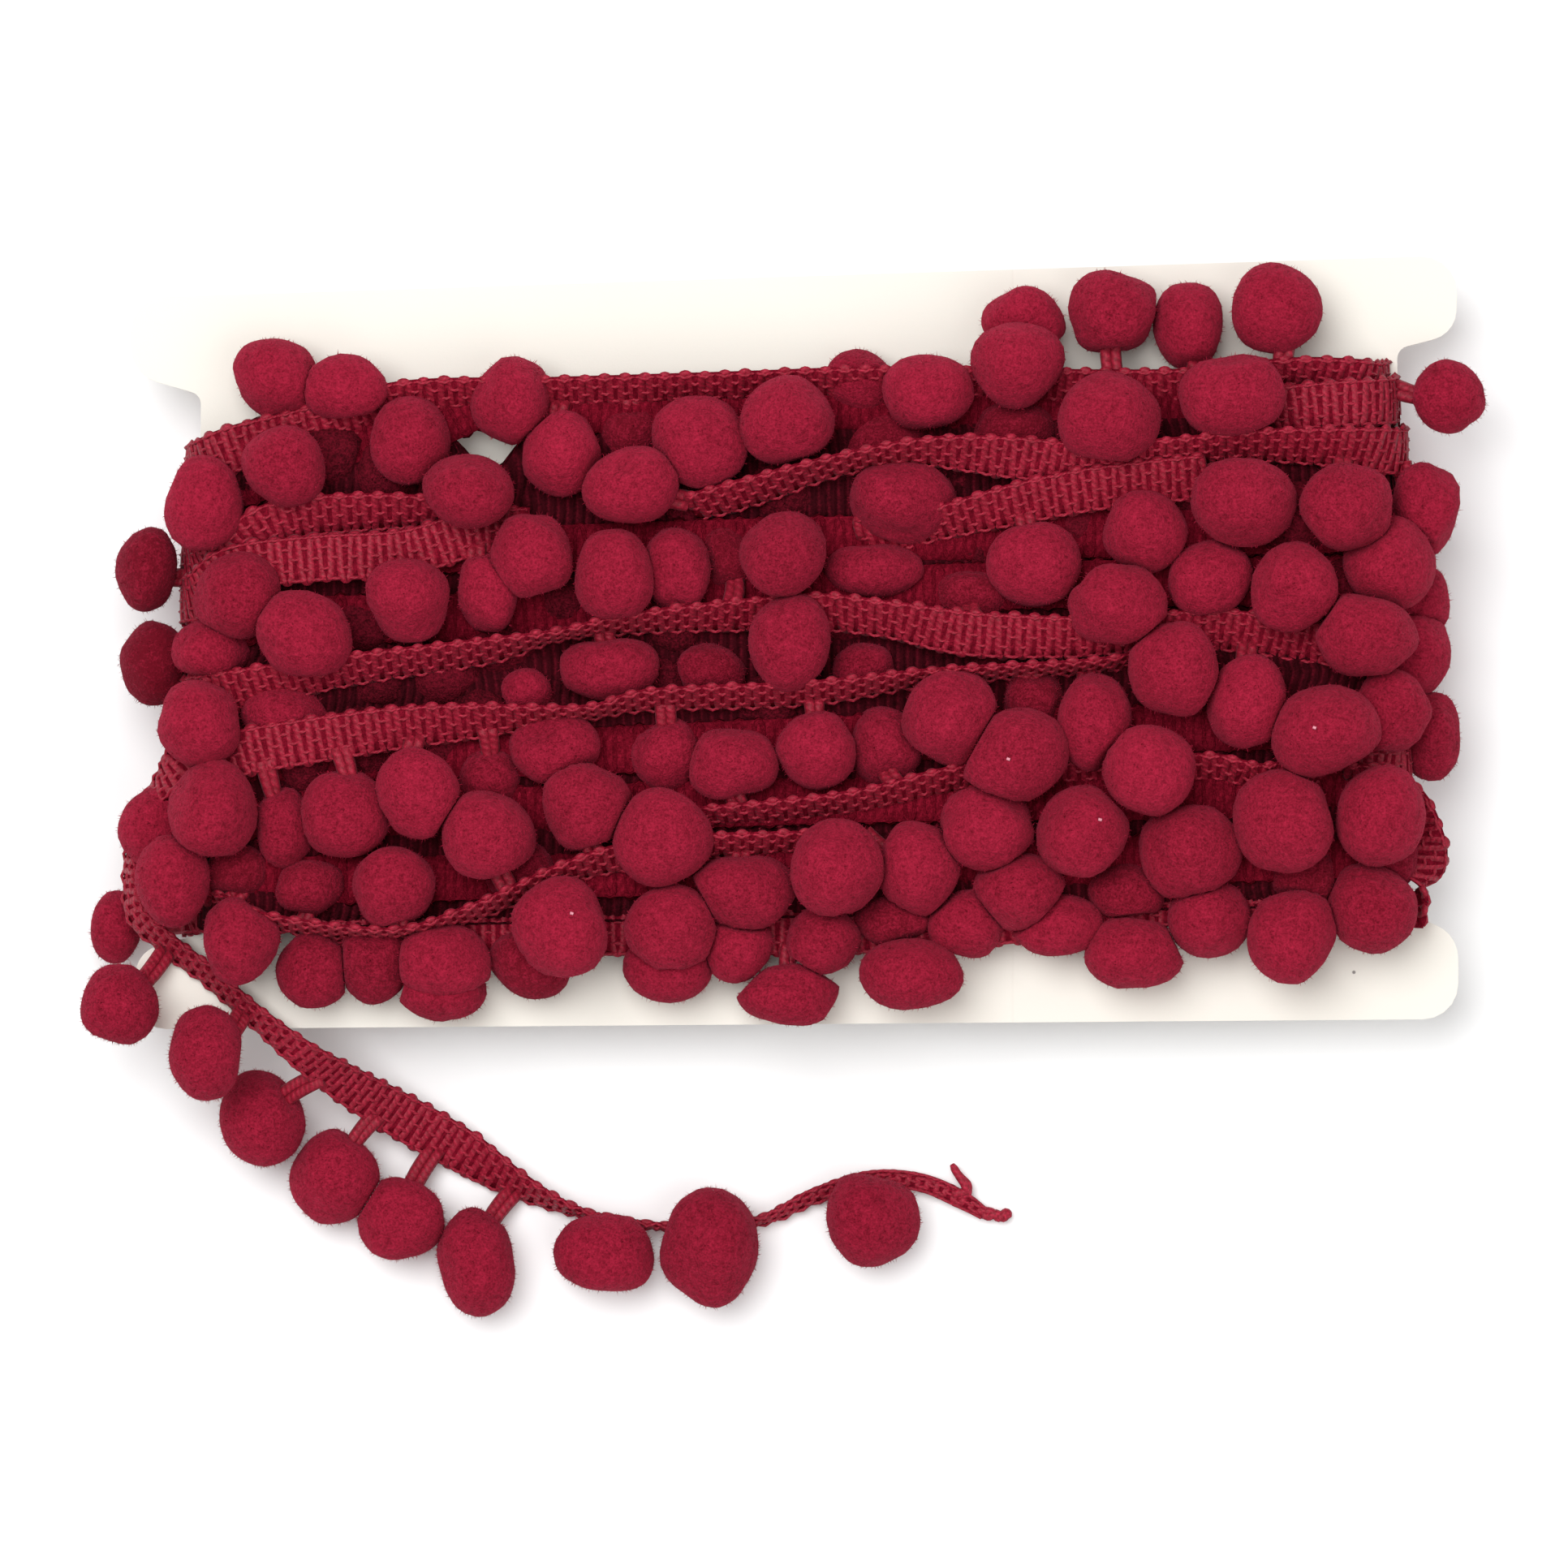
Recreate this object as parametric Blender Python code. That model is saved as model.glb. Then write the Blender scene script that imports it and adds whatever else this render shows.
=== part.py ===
"""Pompom fringe trim wound on a flat card, lying on its back, with one loose end.

Metres, +Z up. The origin is under the middle of the whole, on the surface it lies on.
X runs along the card, Y across it, and the front turns face up.
"""

import math
import random
from collections import namedtuple

import bmesh
import bpy
from mathutils import Matrix, Vector

MM = 0.001
GAP = 0.0003

# The card: a thin board, cut with an ear at each corner that keeps the turns on it.
CARD_LOW = 0.0205
CARD_THICK = 0.0012
CARD_TOP = CARD_LOW + CARD_THICK
CARD_MIDDLE = CARD_LOW + CARD_THICK / 2

# The braid heading, and the pompoms' stems.
BRAID_WIDE = 0.0100
BRAID_THICK = 0.0020
STEM_THICK = 0.0026
# How much out of round a pompom may be, and the steps between two stations of a route.
POM_UNEVEN = 0.06
ROUTE_STEPS = 4

# The wound body under the pompoms: a flat loop of turns round the card.
BODY_HALF_THICK = 0.0122
TURNS_SHOWN = 8
TURN_RELIEF = 0.0014

# Pompoms on the back, which carry the whole on the surface.
BACK_SIZE = 0.0170
BACK_PITCH = 0.0215
BACK_ROW_PITCH = 0.0185
BACK_ROWS = 6
BACK_COLUMNS = 11
# From the body's lower left corner: the first pompom, and the first braid above it.
BACK_START_X = 0.0118
BACK_START_Y = 0.0043
BACK_BRAID_Y = 0.0135
# How far a back pompom may stray from its place each way, and a back braid's most roll in degrees.
BACK_STRAY_X = 0.0025
BACK_STRAY_Y = 0.0020
BACK_ROLL = 15
# How far a resting pompom's middle is above the surface, as a share of its radius.
SEATED_SHARE = 0.88
# What ends up this near the surface rests flat on it.
SEAT_REACH = 0.0005
SEED = 17

# Fusing: the pieces of a solid are skinned at the first size, then thinned to so many triangles.
Skin = namedtuple("Skin", "cell triangles")
WOUND_SKIN = Skin(0.0012, 9000)
LOOSE_SKIN = Skin(0.0008, 2200)

CRIMSON = (0.305, 0.013, 0.036, 1.0)
BOARD = (0.90, 0.86, 0.76, 1.0)

# Corners of the card in millimetres, clockwise from the top left ear, with each one's rounding.
CardCorner = namedtuple("CardCorner", "x y round")
CARD_CORNERS = (
    CardCorner(-128.3, 95.5, 7.0),
    CardCorner(-128.3, 80.5, 7.0),
    CardCorner(-114.6, 76.5, 2.5),
    CardCorner(-114.6, -29.5, 2.5),
    CardCorner(-127.5, -33.0, 6.0),
    CardCorner(-127.5, -48.2, 6.0),
    CardCorner(132.5, -46.2, 7.0),
    CardCorner(132.5, -29.5, 7.0),
    CardCorner(121.5, -25.0, 2.5),
    CardCorner(120.5, 85.5, 2.5),
    CardCorner(132.0, 88.5, 6.0),
    CardCorner(132.5, 103.9, 7.0),
)

# Stations of a braid's route in millimetres, with the roll in degrees that turns it on edge.
# Where a row leaves out the width, the braid has its full one.
Station = namedtuple("Station", "x y z roll wide", defaults=(BRAID_WIDE / MM,))
# Pompoms: the middle and the mean diameter in millimetres.
Pom = namedtuple("Pom", "x y z size")
# One turn of the trim on the front: its braid's route, then the pompoms on it.
Turn = namedtuple("Turn", "name braid poms")

FRONT_TURNS = (
    Turn(
        "top edge",
        ((-117, 66, 29, 0), (-107, 68, 33, 0), (-74, 76, 33, 40), (-42, 77, 34, 30),
         (-10, 80, 34, 25), (19, 80, 34, 25), (36, 82, 34, 40), (74, 82, 33, 50),
         (117, 81, 32, 60), (123, 79, 26, 60)),
        ((-99, 79, 32, 16), (-86, 77, 34, 16), (-73, 67, 35, 15), (-53, 75, 34, 16),
         (-62, 57, 40, 17), (-43, 64, 35, 16), (-30, 58, 40, 18), (-30, 70, 31, 17),
         (-16, 67, 37, 18), (1, 70, 39, 17), (17, 67, 31, 17), (28, 76, 37, 17),
         (47, 91, 31, 16), (45, 81, 38, 17), (64, 92, 32, 17), (79, 90, 31, 15),
         (96, 93, 33, 17), (63, 71, 41, 19), (87, 76, 40, 17), (130, 76, 27, 15)),
    ),
    Turn(
        "right patch",
        ((94, 73, 34, 20), (107, 74, 36, 10), (120, 75, 34, 10), (125, 75, 26, 10)),
        (),
    ),
    Turn(
        "upper right",
        ((-18, 54, 35, 50), (-3, 58, 38, 45), (15, 63, 39, 30), (29, 66, 40, 10),
         (47, 64, 40, 20), (59, 62, 38, 45), (75, 64, 37, 55), (94, 66, 37, 50),
         (122, 66, 34, 45), (126, 66, 25, 45)),
        ((22, 56, 35, 18), (45, 69, 31, 16), (90, 55, 40, 19), (110, 53, 40, 18),
         (125, 54, 28, 17), (70, 49, 36, 17)),
    ),
    Turn(
        "third right",
        ((15, 48, 33, 30), (34, 53, 37, 20), (53, 56, 37, 20), (82, 60, 36, 20)),
        ((19, 42, 32, 16), (49, 43, 36, 18), (65, 35, 40, 18), (83, 40, 35, 16),
         (99, 38, 40, 17), (118, 43, 34, 18), (113, 29, 40, 18)),
    ),
    Turn(
        "upper left",
        ((-112, 44, 32, 30), (-99, 51, 35, 30), (-83, 53, 35, 40), (-69, 53, 35, 50),
         (-58, 51, 32, 50)),
        ((-97, 62, 39, 17), (-113, 55, 35, 16), (-125, 42, 25, 15), (-107, 37, 36, 17)),
    ),
    Turn(
        "wide left",
        ((-115, 37, 29, 10), (-107, 42, 35, 10), (-90, 44, 37, 0), (-74, 45, 37, 5),
         (-60, 49, 36, 10), (-50, 50, 33, 30)),
        ((-93, 29, 40, 18), (-73, 36, 40, 17), (-58, 38, 36, 16), (-49, 45, 40, 16),
         (-33, 41, 40, 17), (-20, 44, 35, 16), (0, 45, 41, 17)),
    ),
    Turn(
        "middle",
        ((-115, 17, 29, 20), (-110, 18, 34, 30), (-87, 22, 37, 50), (-58, 26, 37, 60),
         (-45, 29, 37, 80), (-33, 31, 37, 40), (-8, 33, 36, 40), (7, 34, 36, 30),
         (26, 31, 38, 10), (42, 28, 38, 0), (63, 29, 37, 20), (85, 30, 34, 30),
         (101, 28, 33, 30), (123, 26, 26, 40)),
        ((-124, 23, 23, 16), (-112, 26, 32, 16), (-50, 18, 31, 15), (-34, 23, 34, 17),
         (-14, 22, 31, 16), (1, 28, 40, 17), (16, 22, 31, 16), (61, 14, 36, 17),
         (76, 23, 40, 18), (90, 17, 37, 17), (105, 10, 41, 20), (118, 14, 34, 16),
         (128, 36, 18, 16), (127, 26, 22, 16), (128, 10, 20, 16)),
    ),
    Turn(
        "lower middle",
        ((-115, 2, 30, 10), (-106, 6, 36, 10), (-82, 10, 38, 20), (-64, 12, 38, 40),
         (-39, 14, 38, 75), (-26, 17, 38, 50), (5, 18, 38, 50), (29, 21, 37, 75),
         (58, 23, 35, 75), (69, 24, 32, 60)),
        ((-114, 12, 38, 17), (-97, 13, 32, 16), (-45, 9, 34, 17), (-23, 6, 32, 15),
         (-10, 4, 36, 16), (6, 7, 36, 16), (20, 7, 32, 16), (32, 14, 39, 18),
         (-121, -4, 21, 16), (-111, -5, 39, 18), (-98, -8, 32, 15), (-85, -6, 36, 18),
         (-71, -2, 40, 17), (-39, -3, 38, 17)),
    ),
    Turn(
        "low right",
        ((-18, -6, 33, 40), (-3, -5, 35, 50), (13, -4, 36, 40), (29, -1, 36, 30),
         (53, 0, 32, 30), (82, 3, 34, 50), (94, 1, 34, 50), (117, 4, 32, 50),
         (124, 4, 25, 50)),
        ((10, -17, 40, 19), (26, -17, 33, 17), (39, -9, 37, 18), (45, 6, 40, 19),
         (58, -10, 40, 18), (71, 3, 40, 19), (79, -13, 36, 18), (97, -7, 40, 19),
         (117, -7, 38, 19), (120, -13, 24, 17)),
    ),
    Turn(
        "low left",
        ((-107, -24, 31, 60), (-99, -27, 35, 65), (-76, -29, 36, 75), (-61, -25, 37, 70),
         (-42, -17, 37, 45), (-14, -12, 37, 30), (2, -10, 36, 30), (15, -11, 32, 30)),
        ((-132, -28, 11, 14), (-119, -19, 37, 17), (-106, -30, 37, 16), (-93, -20, 32, 15),
         (-76, -20, 38, 17), (-58, -10, 40, 19), (-43, -28, 40, 19), (-67, -35, 35, 17),
         (-67, -42, 31, 15), (-24, -11, 40, 19), (-22, -28, 36, 17), (-23, -39, 31, 16),
         (-10, -31, 32, 16), (-7, -21, 35, 17)),
    ),
    Turn(
        "bottom edge",
        ((-90, -31, 30, 0), (-50, -31, 30, 0), (-10, -30, 30, 0), (29, -29, 30, 0),
         (69, -25, 30, 0), (101, -21, 30, 0), (119, -19, 28, 0)),
        ((-92, -38, 31, 16), (-81, -37, 31, 16), (-49, -40, 31, 16), (1, -41, 32, 17),
         (8, -30, 33, 15), (25, -37, 34, 17), (36, -28, 32, 16), (51, -20, 33, 16),
         (53, -28, 31, 17), (68, -33, 32, 18), (82, -26, 33, 16), (99, -28, 35, 18),
         (115, -24, 33, 17)),
    ),
)

# The wound body from its top edge to its bottom one: where its left and right ends are.
BodyEdge = namedtuple("BodyEdge", "left left_y right right_y")
BODY_TOP = BodyEdge(-116.5, 66.0, 122.5, 79.0)
BODY_MIDDLE = BodyEdge(-118.5, 18.0, 124.0, 30.0)
BODY_BOTTOM = BodyEdge(-117.0, -28.0, 121.5, -23.0)
BODY_EDGES = (BODY_TOP, BODY_MIDDLE, BODY_BOTTOM)
# Its profile at the ends: height and inset, as shares of half its thickness.
BODY_PROFILE = ((-1.0, 0.55), (-0.72, 0.14), (0.0, 0.0), (0.72, 0.14), (1.0, 0.55))

# The loose end: off the left side, over the corner, down to the surface and out to its fray.
LOOSE_BRAID = (
    (-122.5, 5.0, 33.0, 20, 10.0),
    (-127.5, -7.0, 31.5, 40, 10.0),
    (-129.8, -13.0, 27.5, 65, 10.0),
    (-130.5, -19.5, 26.0, 72, 10.0),
    (-129.3, -27.0, 25.0, 30, 9.0),
    (-122.0, -32.0, 23.4, 0, 8.0),
    (-113.0, -38.0, 23.1, 0, 8.5),
    (-103.0, -46.0, 23.7, 5, 8.5),
    (-95.0, -53.0, 22.6, 15, 8.5),
    (-86.0, -60.5, 14.0, 15, 9.5),
    (-75.0, -67.0, 6.5, 15, 10.0),
    (-64.0, -73.5, 3.6, 25, 10.0),
    (-52.0, -80.0, 4.0, 50, 9.0),
    (-40.0, -85.0, 4.2, 75, 7.0),
    (-26.0, -87.5, 4.2, 80, 6.0),
    (-13.0, -88.0, 4.0, 80, 5.0),
    (-3.0, -86.0, 3.2, 60, 4.2),
    (6.0, -81.5, 2.6, 30, 3.6),
    (17.0, -79.0, 2.2, 10, 3.4),
    (28.0, -80.5, 2.0, 0, 3.2),
    (38.0, -84.5, 1.8, 0, 2.8),
    (45.0, -86.5, 1.6, 0, 2.0),
)
LOOSE_POMS = (
    (-130, -43, 32.5, 16), (-113, -53, 31.0, 16), (-103, -66, 13.0, 18), (-89, -78, 8.6, 18),
    (-76, -86, 8.4, 17), (-61, -94, 8.4, 18), (-36, -93, 8.6, 18), (-14, -91.5, 9.6, 21),
    (17, -86, 8.6, 18),
)


def clear_scene():
    for thing in list(bpy.data.objects):
        bpy.data.objects.remove(thing)


def plain_material(name, colour, roughness):
    material = bpy.data.materials.new(name)
    material.use_nodes = True
    shader = material.node_tree.nodes["Principled BSDF"]
    shader.inputs["Base Color"].default_value = colour
    shader.inputs["Roughness"].default_value = roughness
    shader.inputs["Metallic"].default_value = 0.0
    return material


def object_from(shape, name, material=None):
    """A named object in the scene that holds this bmesh."""
    bmesh.ops.recalc_face_normals(shape, faces=shape.faces)
    mesh = bpy.data.meshes.new(name)
    shape.to_mesh(mesh)
    shape.free()
    made = bpy.data.objects.new(name, mesh)
    bpy.context.scene.collection.objects.link(made)
    if material:
        mesh.materials.append(material)
    return made


def smooth(thing, degrees):
    thing.data.shade_smooth()
    thing.data.set_sharp_from_angle(angle=math.radians(degrees))


def islands_of(shape):
    """The faces of each stretch of surface that hangs together."""
    left = set(shape.faces)
    while left:
        front = [left.pop()]
        found = list(front)
        while front:
            face = front.pop()
            near = {other for edge in face.edges for other in edge.link_faces} & left
            left -= near
            front.extend(near)
            found.extend(near)
        yield found


def apply_modifiers(thing):
    """Applies them, and fills any sealed hollow left between the pieces."""
    graph = bpy.context.evaluated_depsgraph_get()
    shape = bmesh.new()
    shape.from_object(thing, graph)
    for faces in list(islands_of(shape)):
        volume = sum(f.calc_area() * f.normal.dot(f.calc_center_median()) for f in faces)
        if volume < 0:
            bmesh.ops.delete(shape, geom=faces, context="FACES")
    thing.modifiers.clear()
    shape.to_mesh(thing.data)
    shape.free()


def fuse(thing, skin):
    """Makes the overlapping pieces in one mesh a single skin, and seats it on the surface."""
    remesh = thing.modifiers.new("one skin", "REMESH")
    remesh.mode = "VOXEL"
    remesh.voxel_size = skin.cell
    apply_modifiers(thing)
    thing.data.calc_loop_triangles()
    decimate = thing.modifiers.new("fewer triangles", "DECIMATE")
    decimate.ratio = skin.triangles / len(thing.data.loop_triangles)
    apply_modifiers(thing)
    for vertex in thing.data.vertices:
        if vertex.co.z < SEAT_REACH:
            vertex.co.z = 0.0


def close_rings(shape, rings):
    """Joins rings of as many points each into a tube with flat ends."""
    count = len(rings[0])
    for low, high in zip(rings, rings[1:]):
        for i in range(count):
            j = (i + 1) % count
            shape.faces.new((low[i], low[j], high[j], high[i]))
    shape.faces.new(reversed(rings[0]))
    shape.faces.new(rings[-1])


def card_outline(grow, arc_steps=5):
    """The card's outline with each corner rounded, and moved out by grow."""
    corners = [Vector((c.x, c.y)) * MM for c in CARD_CORNERS]
    points = []
    for i, corner in enumerate(CARD_CORNERS):
        here = corners[i]
        to_last = (corners[i - 1] - here).normalized()
        to_next = (corners[(i + 1) % len(corners)] - here).normalized()
        half = to_last.angle(to_next) / 2
        run = corner.round * MM / math.tan(half)
        centre = here + (to_last + to_next).normalized() * (corner.round * MM / math.sin(half))
        start = (here + to_last * run - centre).normalized()
        end = (here + to_next * run - centre).normalized()
        # Where the outline turns into the card, the arc's centre is outside it.
        outward = to_last.cross(to_next) < 0
        radius = corner.round * MM + (grow if outward else -grow)
        for step in range(arc_steps + 1):
            points.append(centre + start.slerp(end, step / arc_steps) * radius)
    return points


def card_slab(name, grow, material=None):
    shape = bmesh.new()
    rings = []
    for z in (CARD_LOW - grow, CARD_TOP + grow):
        rings.append([shape.verts.new((p.x, p.y, z)) for p in card_outline(grow)])
    close_rings(shape, rings)
    return object_from(shape, name, material)


def body_side(ends, inset, outward):
    """One end of the wound body in plan: each turn bulges a little between its neighbours."""
    turns = TURNS_SHOWN // 2
    points = []
    for (x, y), (next_x, next_y) in zip(ends, ends[1:]):
        for i in range(2 * turns):
            share = i / (2 * turns)
            bulge = TURN_RELIEF / 2 if i % 2 else -TURN_RELIEF / 2
            reach = (bulge - inset) * outward
            points.append(((x + (next_x - x) * share) * MM + reach, (y + (next_y - y) * share) * MM))
    points.append((ends[-1][0] * MM - inset * outward, ends[-1][1] * MM))
    return points


def add_body(shape):
    """The turns under the pompoms: a flat loop with round ends, ridged once for each turn."""
    rings = []
    for height, inset in BODY_PROFILE:
        left = body_side([(e.left, e.left_y) for e in BODY_EDGES], inset * BODY_HALF_THICK, -1)
        right = body_side([(e.right, e.right_y) for e in BODY_EDGES], inset * BODY_HALF_THICK, 1)
        z = CARD_MIDDLE + height * BODY_HALF_THICK
        rings.append([shape.verts.new((x, y, z)) for x, y in left + right[::-1]])
    close_rings(shape, rings)


def add_pom(shape, pom, rng):
    """A ball a little out of round, turned at random, and flat where it rests on the surface."""
    stretch = [rng.uniform(1 - POM_UNEVEN, 1 + POM_UNEVEN) for _ in range(3)]
    turn = Matrix.Rotation(rng.uniform(0, math.tau), 4, "Z") @ Matrix.Rotation(rng.uniform(0, math.pi), 4, "X")
    place = Matrix.Translation(place_of(pom))
    made = bmesh.ops.create_icosphere(
        shape, subdivisions=3, radius=pom.size * MM / 2, matrix=place @ turn @ Matrix.Diagonal((*stretch, 1))
    )
    for vertex in made["verts"]:
        vertex.co.z = max(vertex.co.z, 0.0)


def smooth_route(stations):
    """Stations on the smooth curve through these ones."""
    rows = [Vector(Station(*s)) for s in stations]
    padded = [rows[0] * 2 - rows[1], *rows, rows[-1] * 2 - rows[-2]]
    made = []
    for a, b, c, d in zip(padded, padded[1:], padded[2:], padded[3:]):
        for i in range(ROUTE_STEPS):
            t = i / ROUTE_STEPS
            bend = (a * 2 - b * 5 + c * 4 - d) * t**2 + (b * 3 - a - c * 3 + d) * t**3
            made.append(Station(*(b + ((c - a) * t + bend) / 2)))
    made.append(Station(*rows[-1]))
    return made


def place_of(thing):
    """Where a station or a pompom's middle is, in metres."""
    return Vector((thing.x, thing.y, thing.z)) * MM


def add_braid(shape, stations):
    """A flat braid along its route, turned on edge where the stations say so."""
    rows = smooth_route(stations)
    rings = []
    for before, row, after in zip([rows[0], *rows], rows, [*rows[1:], rows[-1]]):
        along = (place_of(after) - place_of(before)).normalized()
        level = Vector((0, 0, 1)).cross(along).normalized()
        side = Matrix.Rotation(math.radians(row.roll), 3, along) @ level
        half_side = side * row.wide * MM / 2
        half_face = along.cross(side) * BRAID_THICK / 2
        rings.append(square_ring(shape, place_of(row), half_side, half_face))
    close_rings(shape, rings)


def square_ring(shape, middle, across, up):
    return [shape.verts.new(middle + across * a + up * b) for a, b in ((-1, -1), (1, -1), (1, 1), (-1, 1))]


def add_stem(shape, stations, pom):
    """A short four-sided run of yarn from the nearest point of the braid into the pompom."""
    end = place_of(pom)
    start = min(map(place_of, smooth_route(stations)), key=lambda point: (point - end).length)
    along = (end - start).normalized()
    side = along.orthogonal().normalized() * STEM_THICK / 2
    close_rings(shape, [square_ring(shape, place, side, along.cross(side)) for place in (start, end)])


def beyond_body(pom):
    """Whether a pompom hangs clear of the wound body, and so needs its stem."""
    share = (pom.x - BODY_TOP.left) / (BODY_TOP.right - BODY_TOP.left)
    top = BODY_TOP.left_y + (BODY_TOP.right_y - BODY_TOP.left_y) * share
    bottom = BODY_BOTTOM.left_y + (BODY_BOTTOM.right_y - BODY_BOTTOM.left_y) * share
    within_y = bottom < pom.y < top
    within_x = BODY_TOP.left + pom.size / 4 < pom.x < BODY_TOP.right - pom.size / 4
    return not (within_x and within_y)


def stray(rng, reach):
    return rng.uniform(-reach, reach) / MM


def back_place(from_left, row, from_bottom):
    """X and Y in millimetres on the back, which slopes as the card's turns do."""
    share = from_left / (BODY_TOP.right - BODY_TOP.left)
    slope = (BODY_TOP.right_y - BODY_TOP.left_y) * share
    return BODY_TOP.left + from_left, BODY_BOTTOM.left_y + from_bottom + row * BACK_ROW_PITCH / MM + slope


def back_poms(rng):
    """Pompoms under the back turns, each row half a pitch along from the last."""
    pitch = BACK_PITCH / MM
    for row in range(BACK_ROWS):
        indent = BACK_START_X / MM + row % 2 * pitch / 2
        for column in range(BACK_COLUMNS - row % 2):
            size = BACK_SIZE / MM * rng.uniform(1 - POM_UNEVEN, 1 + POM_UNEVEN)
            from_left = indent + column * pitch + stray(rng, BACK_STRAY_X)
            x, y = back_place(from_left, row, BACK_START_Y / MM)
            yield Pom(x, y + stray(rng, BACK_STRAY_Y), size / 2 * SEATED_SHARE, size)


def back_braids(rng):
    """The braid of each back turn, along the body between two rows of pompoms."""
    length = BODY_TOP.right - BODY_TOP.left
    z = (CARD_MIDDLE - BODY_HALF_THICK) / MM
    for row in range(BACK_ROWS):
        stations = []
        for i in range(ROUTE_STEPS + 1):
            x, y = back_place(length * i / ROUTE_STEPS, row, BACK_BRAID_Y / MM)
            stations.append(Station(x, y + stray(rng, BACK_STRAY_Y), z, rng.uniform(-BACK_ROLL, BACK_ROLL)))
        yield stations


def make_card():
    card = card_slab("card", 0.0, plain_material("winding board", BOARD, 0.75))
    smooth(card, 30)


def make_wound_trim(yarn):
    rng = random.Random(SEED)
    shape = bmesh.new()
    add_body(shape)
    for turn in FRONT_TURNS:
        add_braid(shape, turn.braid)
        for pom in map(Pom._make, turn.poms):
            add_pom(shape, pom, rng)
            if beyond_body(pom):
                add_stem(shape, turn.braid, pom)
    for pom in list(back_poms(rng)):
        add_pom(shape, pom, rng)
    for stations in back_braids(rng):
        add_braid(shape, stations)
    trim = object_from(shape, "wound_trim", yarn)
    fuse(trim, WOUND_SKIN)
    slot = card_slab("card_slot", GAP)
    slot.hide_render = True
    slot.display_type = "WIRE"
    cut = trim.modifiers.new("slot for the card", "BOOLEAN")
    cut.operation = "DIFFERENCE"
    cut.solver = "EXACT"
    cut.object = slot
    smooth(trim, 60)


def make_loose_end(yarn):
    rng = random.Random(SEED + 1)
    shape = bmesh.new()
    add_braid(shape, LOOSE_BRAID)
    for pom in map(Pom._make, LOOSE_POMS):
        add_pom(shape, pom, rng)
        add_stem(shape, LOOSE_BRAID, pom)
    end = object_from(shape, "loose_end", yarn)
    fuse(end, LOOSE_SKIN)
    smooth(end, 60)


def main():
    clear_scene()
    yarn = plain_material("crimson yarn", CRIMSON, 0.9)
    make_card()
    make_wound_trim(yarn)
    make_loose_end(yarn)


main()
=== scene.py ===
# Crimson pompom fringe wound on a pale winding card, with a loose end lying on the table.
# Metres, Z up. The tables are in millimetres from the point under the middle of the whole.
import math
import random

import bpy
import numpy as np
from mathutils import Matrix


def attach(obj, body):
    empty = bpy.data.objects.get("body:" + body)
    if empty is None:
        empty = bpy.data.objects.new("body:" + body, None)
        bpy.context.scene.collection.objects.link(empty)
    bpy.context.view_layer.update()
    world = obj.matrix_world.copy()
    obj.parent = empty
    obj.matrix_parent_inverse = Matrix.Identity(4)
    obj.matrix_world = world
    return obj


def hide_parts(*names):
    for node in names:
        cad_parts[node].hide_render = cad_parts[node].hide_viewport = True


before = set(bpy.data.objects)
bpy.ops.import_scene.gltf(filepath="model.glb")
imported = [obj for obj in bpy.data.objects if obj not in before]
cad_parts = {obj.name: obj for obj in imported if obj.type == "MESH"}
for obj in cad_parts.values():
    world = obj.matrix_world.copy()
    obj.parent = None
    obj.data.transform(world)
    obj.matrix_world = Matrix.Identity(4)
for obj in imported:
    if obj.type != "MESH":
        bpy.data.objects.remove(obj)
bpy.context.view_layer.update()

mm = 0.001
rng = np.random.default_rng(23)

view = {
    "height": 1.73,  # camera above the table
    "sharpAt": 0.030,  # height at which the frame is frameWide across
    "frameWide": 1932 / 6300,
    "sensor": 36.0,
}


def addCamera(v):
    # Looks straight down. Lens = sensor width times distance over the width seen at that distance.
    data = bpy.data.cameras.new("camera")
    data.sensor_width = v["sensor"]
    data.lens = v["sensor"] * (v["height"] - v["sharpAt"]) / v["frameWide"]
    data.clip_start = 0.05
    data.clip_end = 20.0
    camera = bpy.data.objects.new("camera", data)
    camera.location = (0.0, 0.0, v["height"])
    bpy.context.scene.collection.objects.link(camera)
    bpy.context.scene.camera = camera


addCamera(view)
print("camera placed")


def gridQuads(rows, columns, wrapped):
    # Corner numbers of the quads on a grid of points, and each corner's row and column.
    last = columns if wrapped else columns - 1
    r, c = np.meshgrid(np.arange(rows - 1), np.arange(last), indexing="ij")
    right = (c + 1) % columns
    low, high = r * columns, (r + 1) * columns
    corners = np.stack([low + c, low + right, high + right, high + c], -1)
    places = np.stack([np.stack(p, -1) for p in ((r, c), (r, c + 1), (r + 1, c + 1), (r + 1, c))], -2)
    return corners.reshape(-1, 4), places.reshape(-1, 4, 2).astype(float)


def repeated(faces, count, size):
    # The same faces for each of count shapes that have size points each.
    return (faces[None] + np.arange(count)[:, None, None] * size).reshape(-1, faces.shape[1])


def joined(shapes):
    # Several shapes as one, each one's face numbers moved past the points before it.
    made = {"points": [], "faces": [], "uvs": [], "tone": []}
    start = 0
    for shape in shapes:
        made["points"].append(shape["points"])
        made["tone"].append(shape["tone"])
        made["faces"] += [faces + start for faces in shape["faces"]]
        made["uvs"] += shape["uvs"]
        start += len(shape["points"])
    made["points"] = np.concatenate(made["points"])
    made["tone"] = np.concatenate(made["tone"])
    return made


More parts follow.
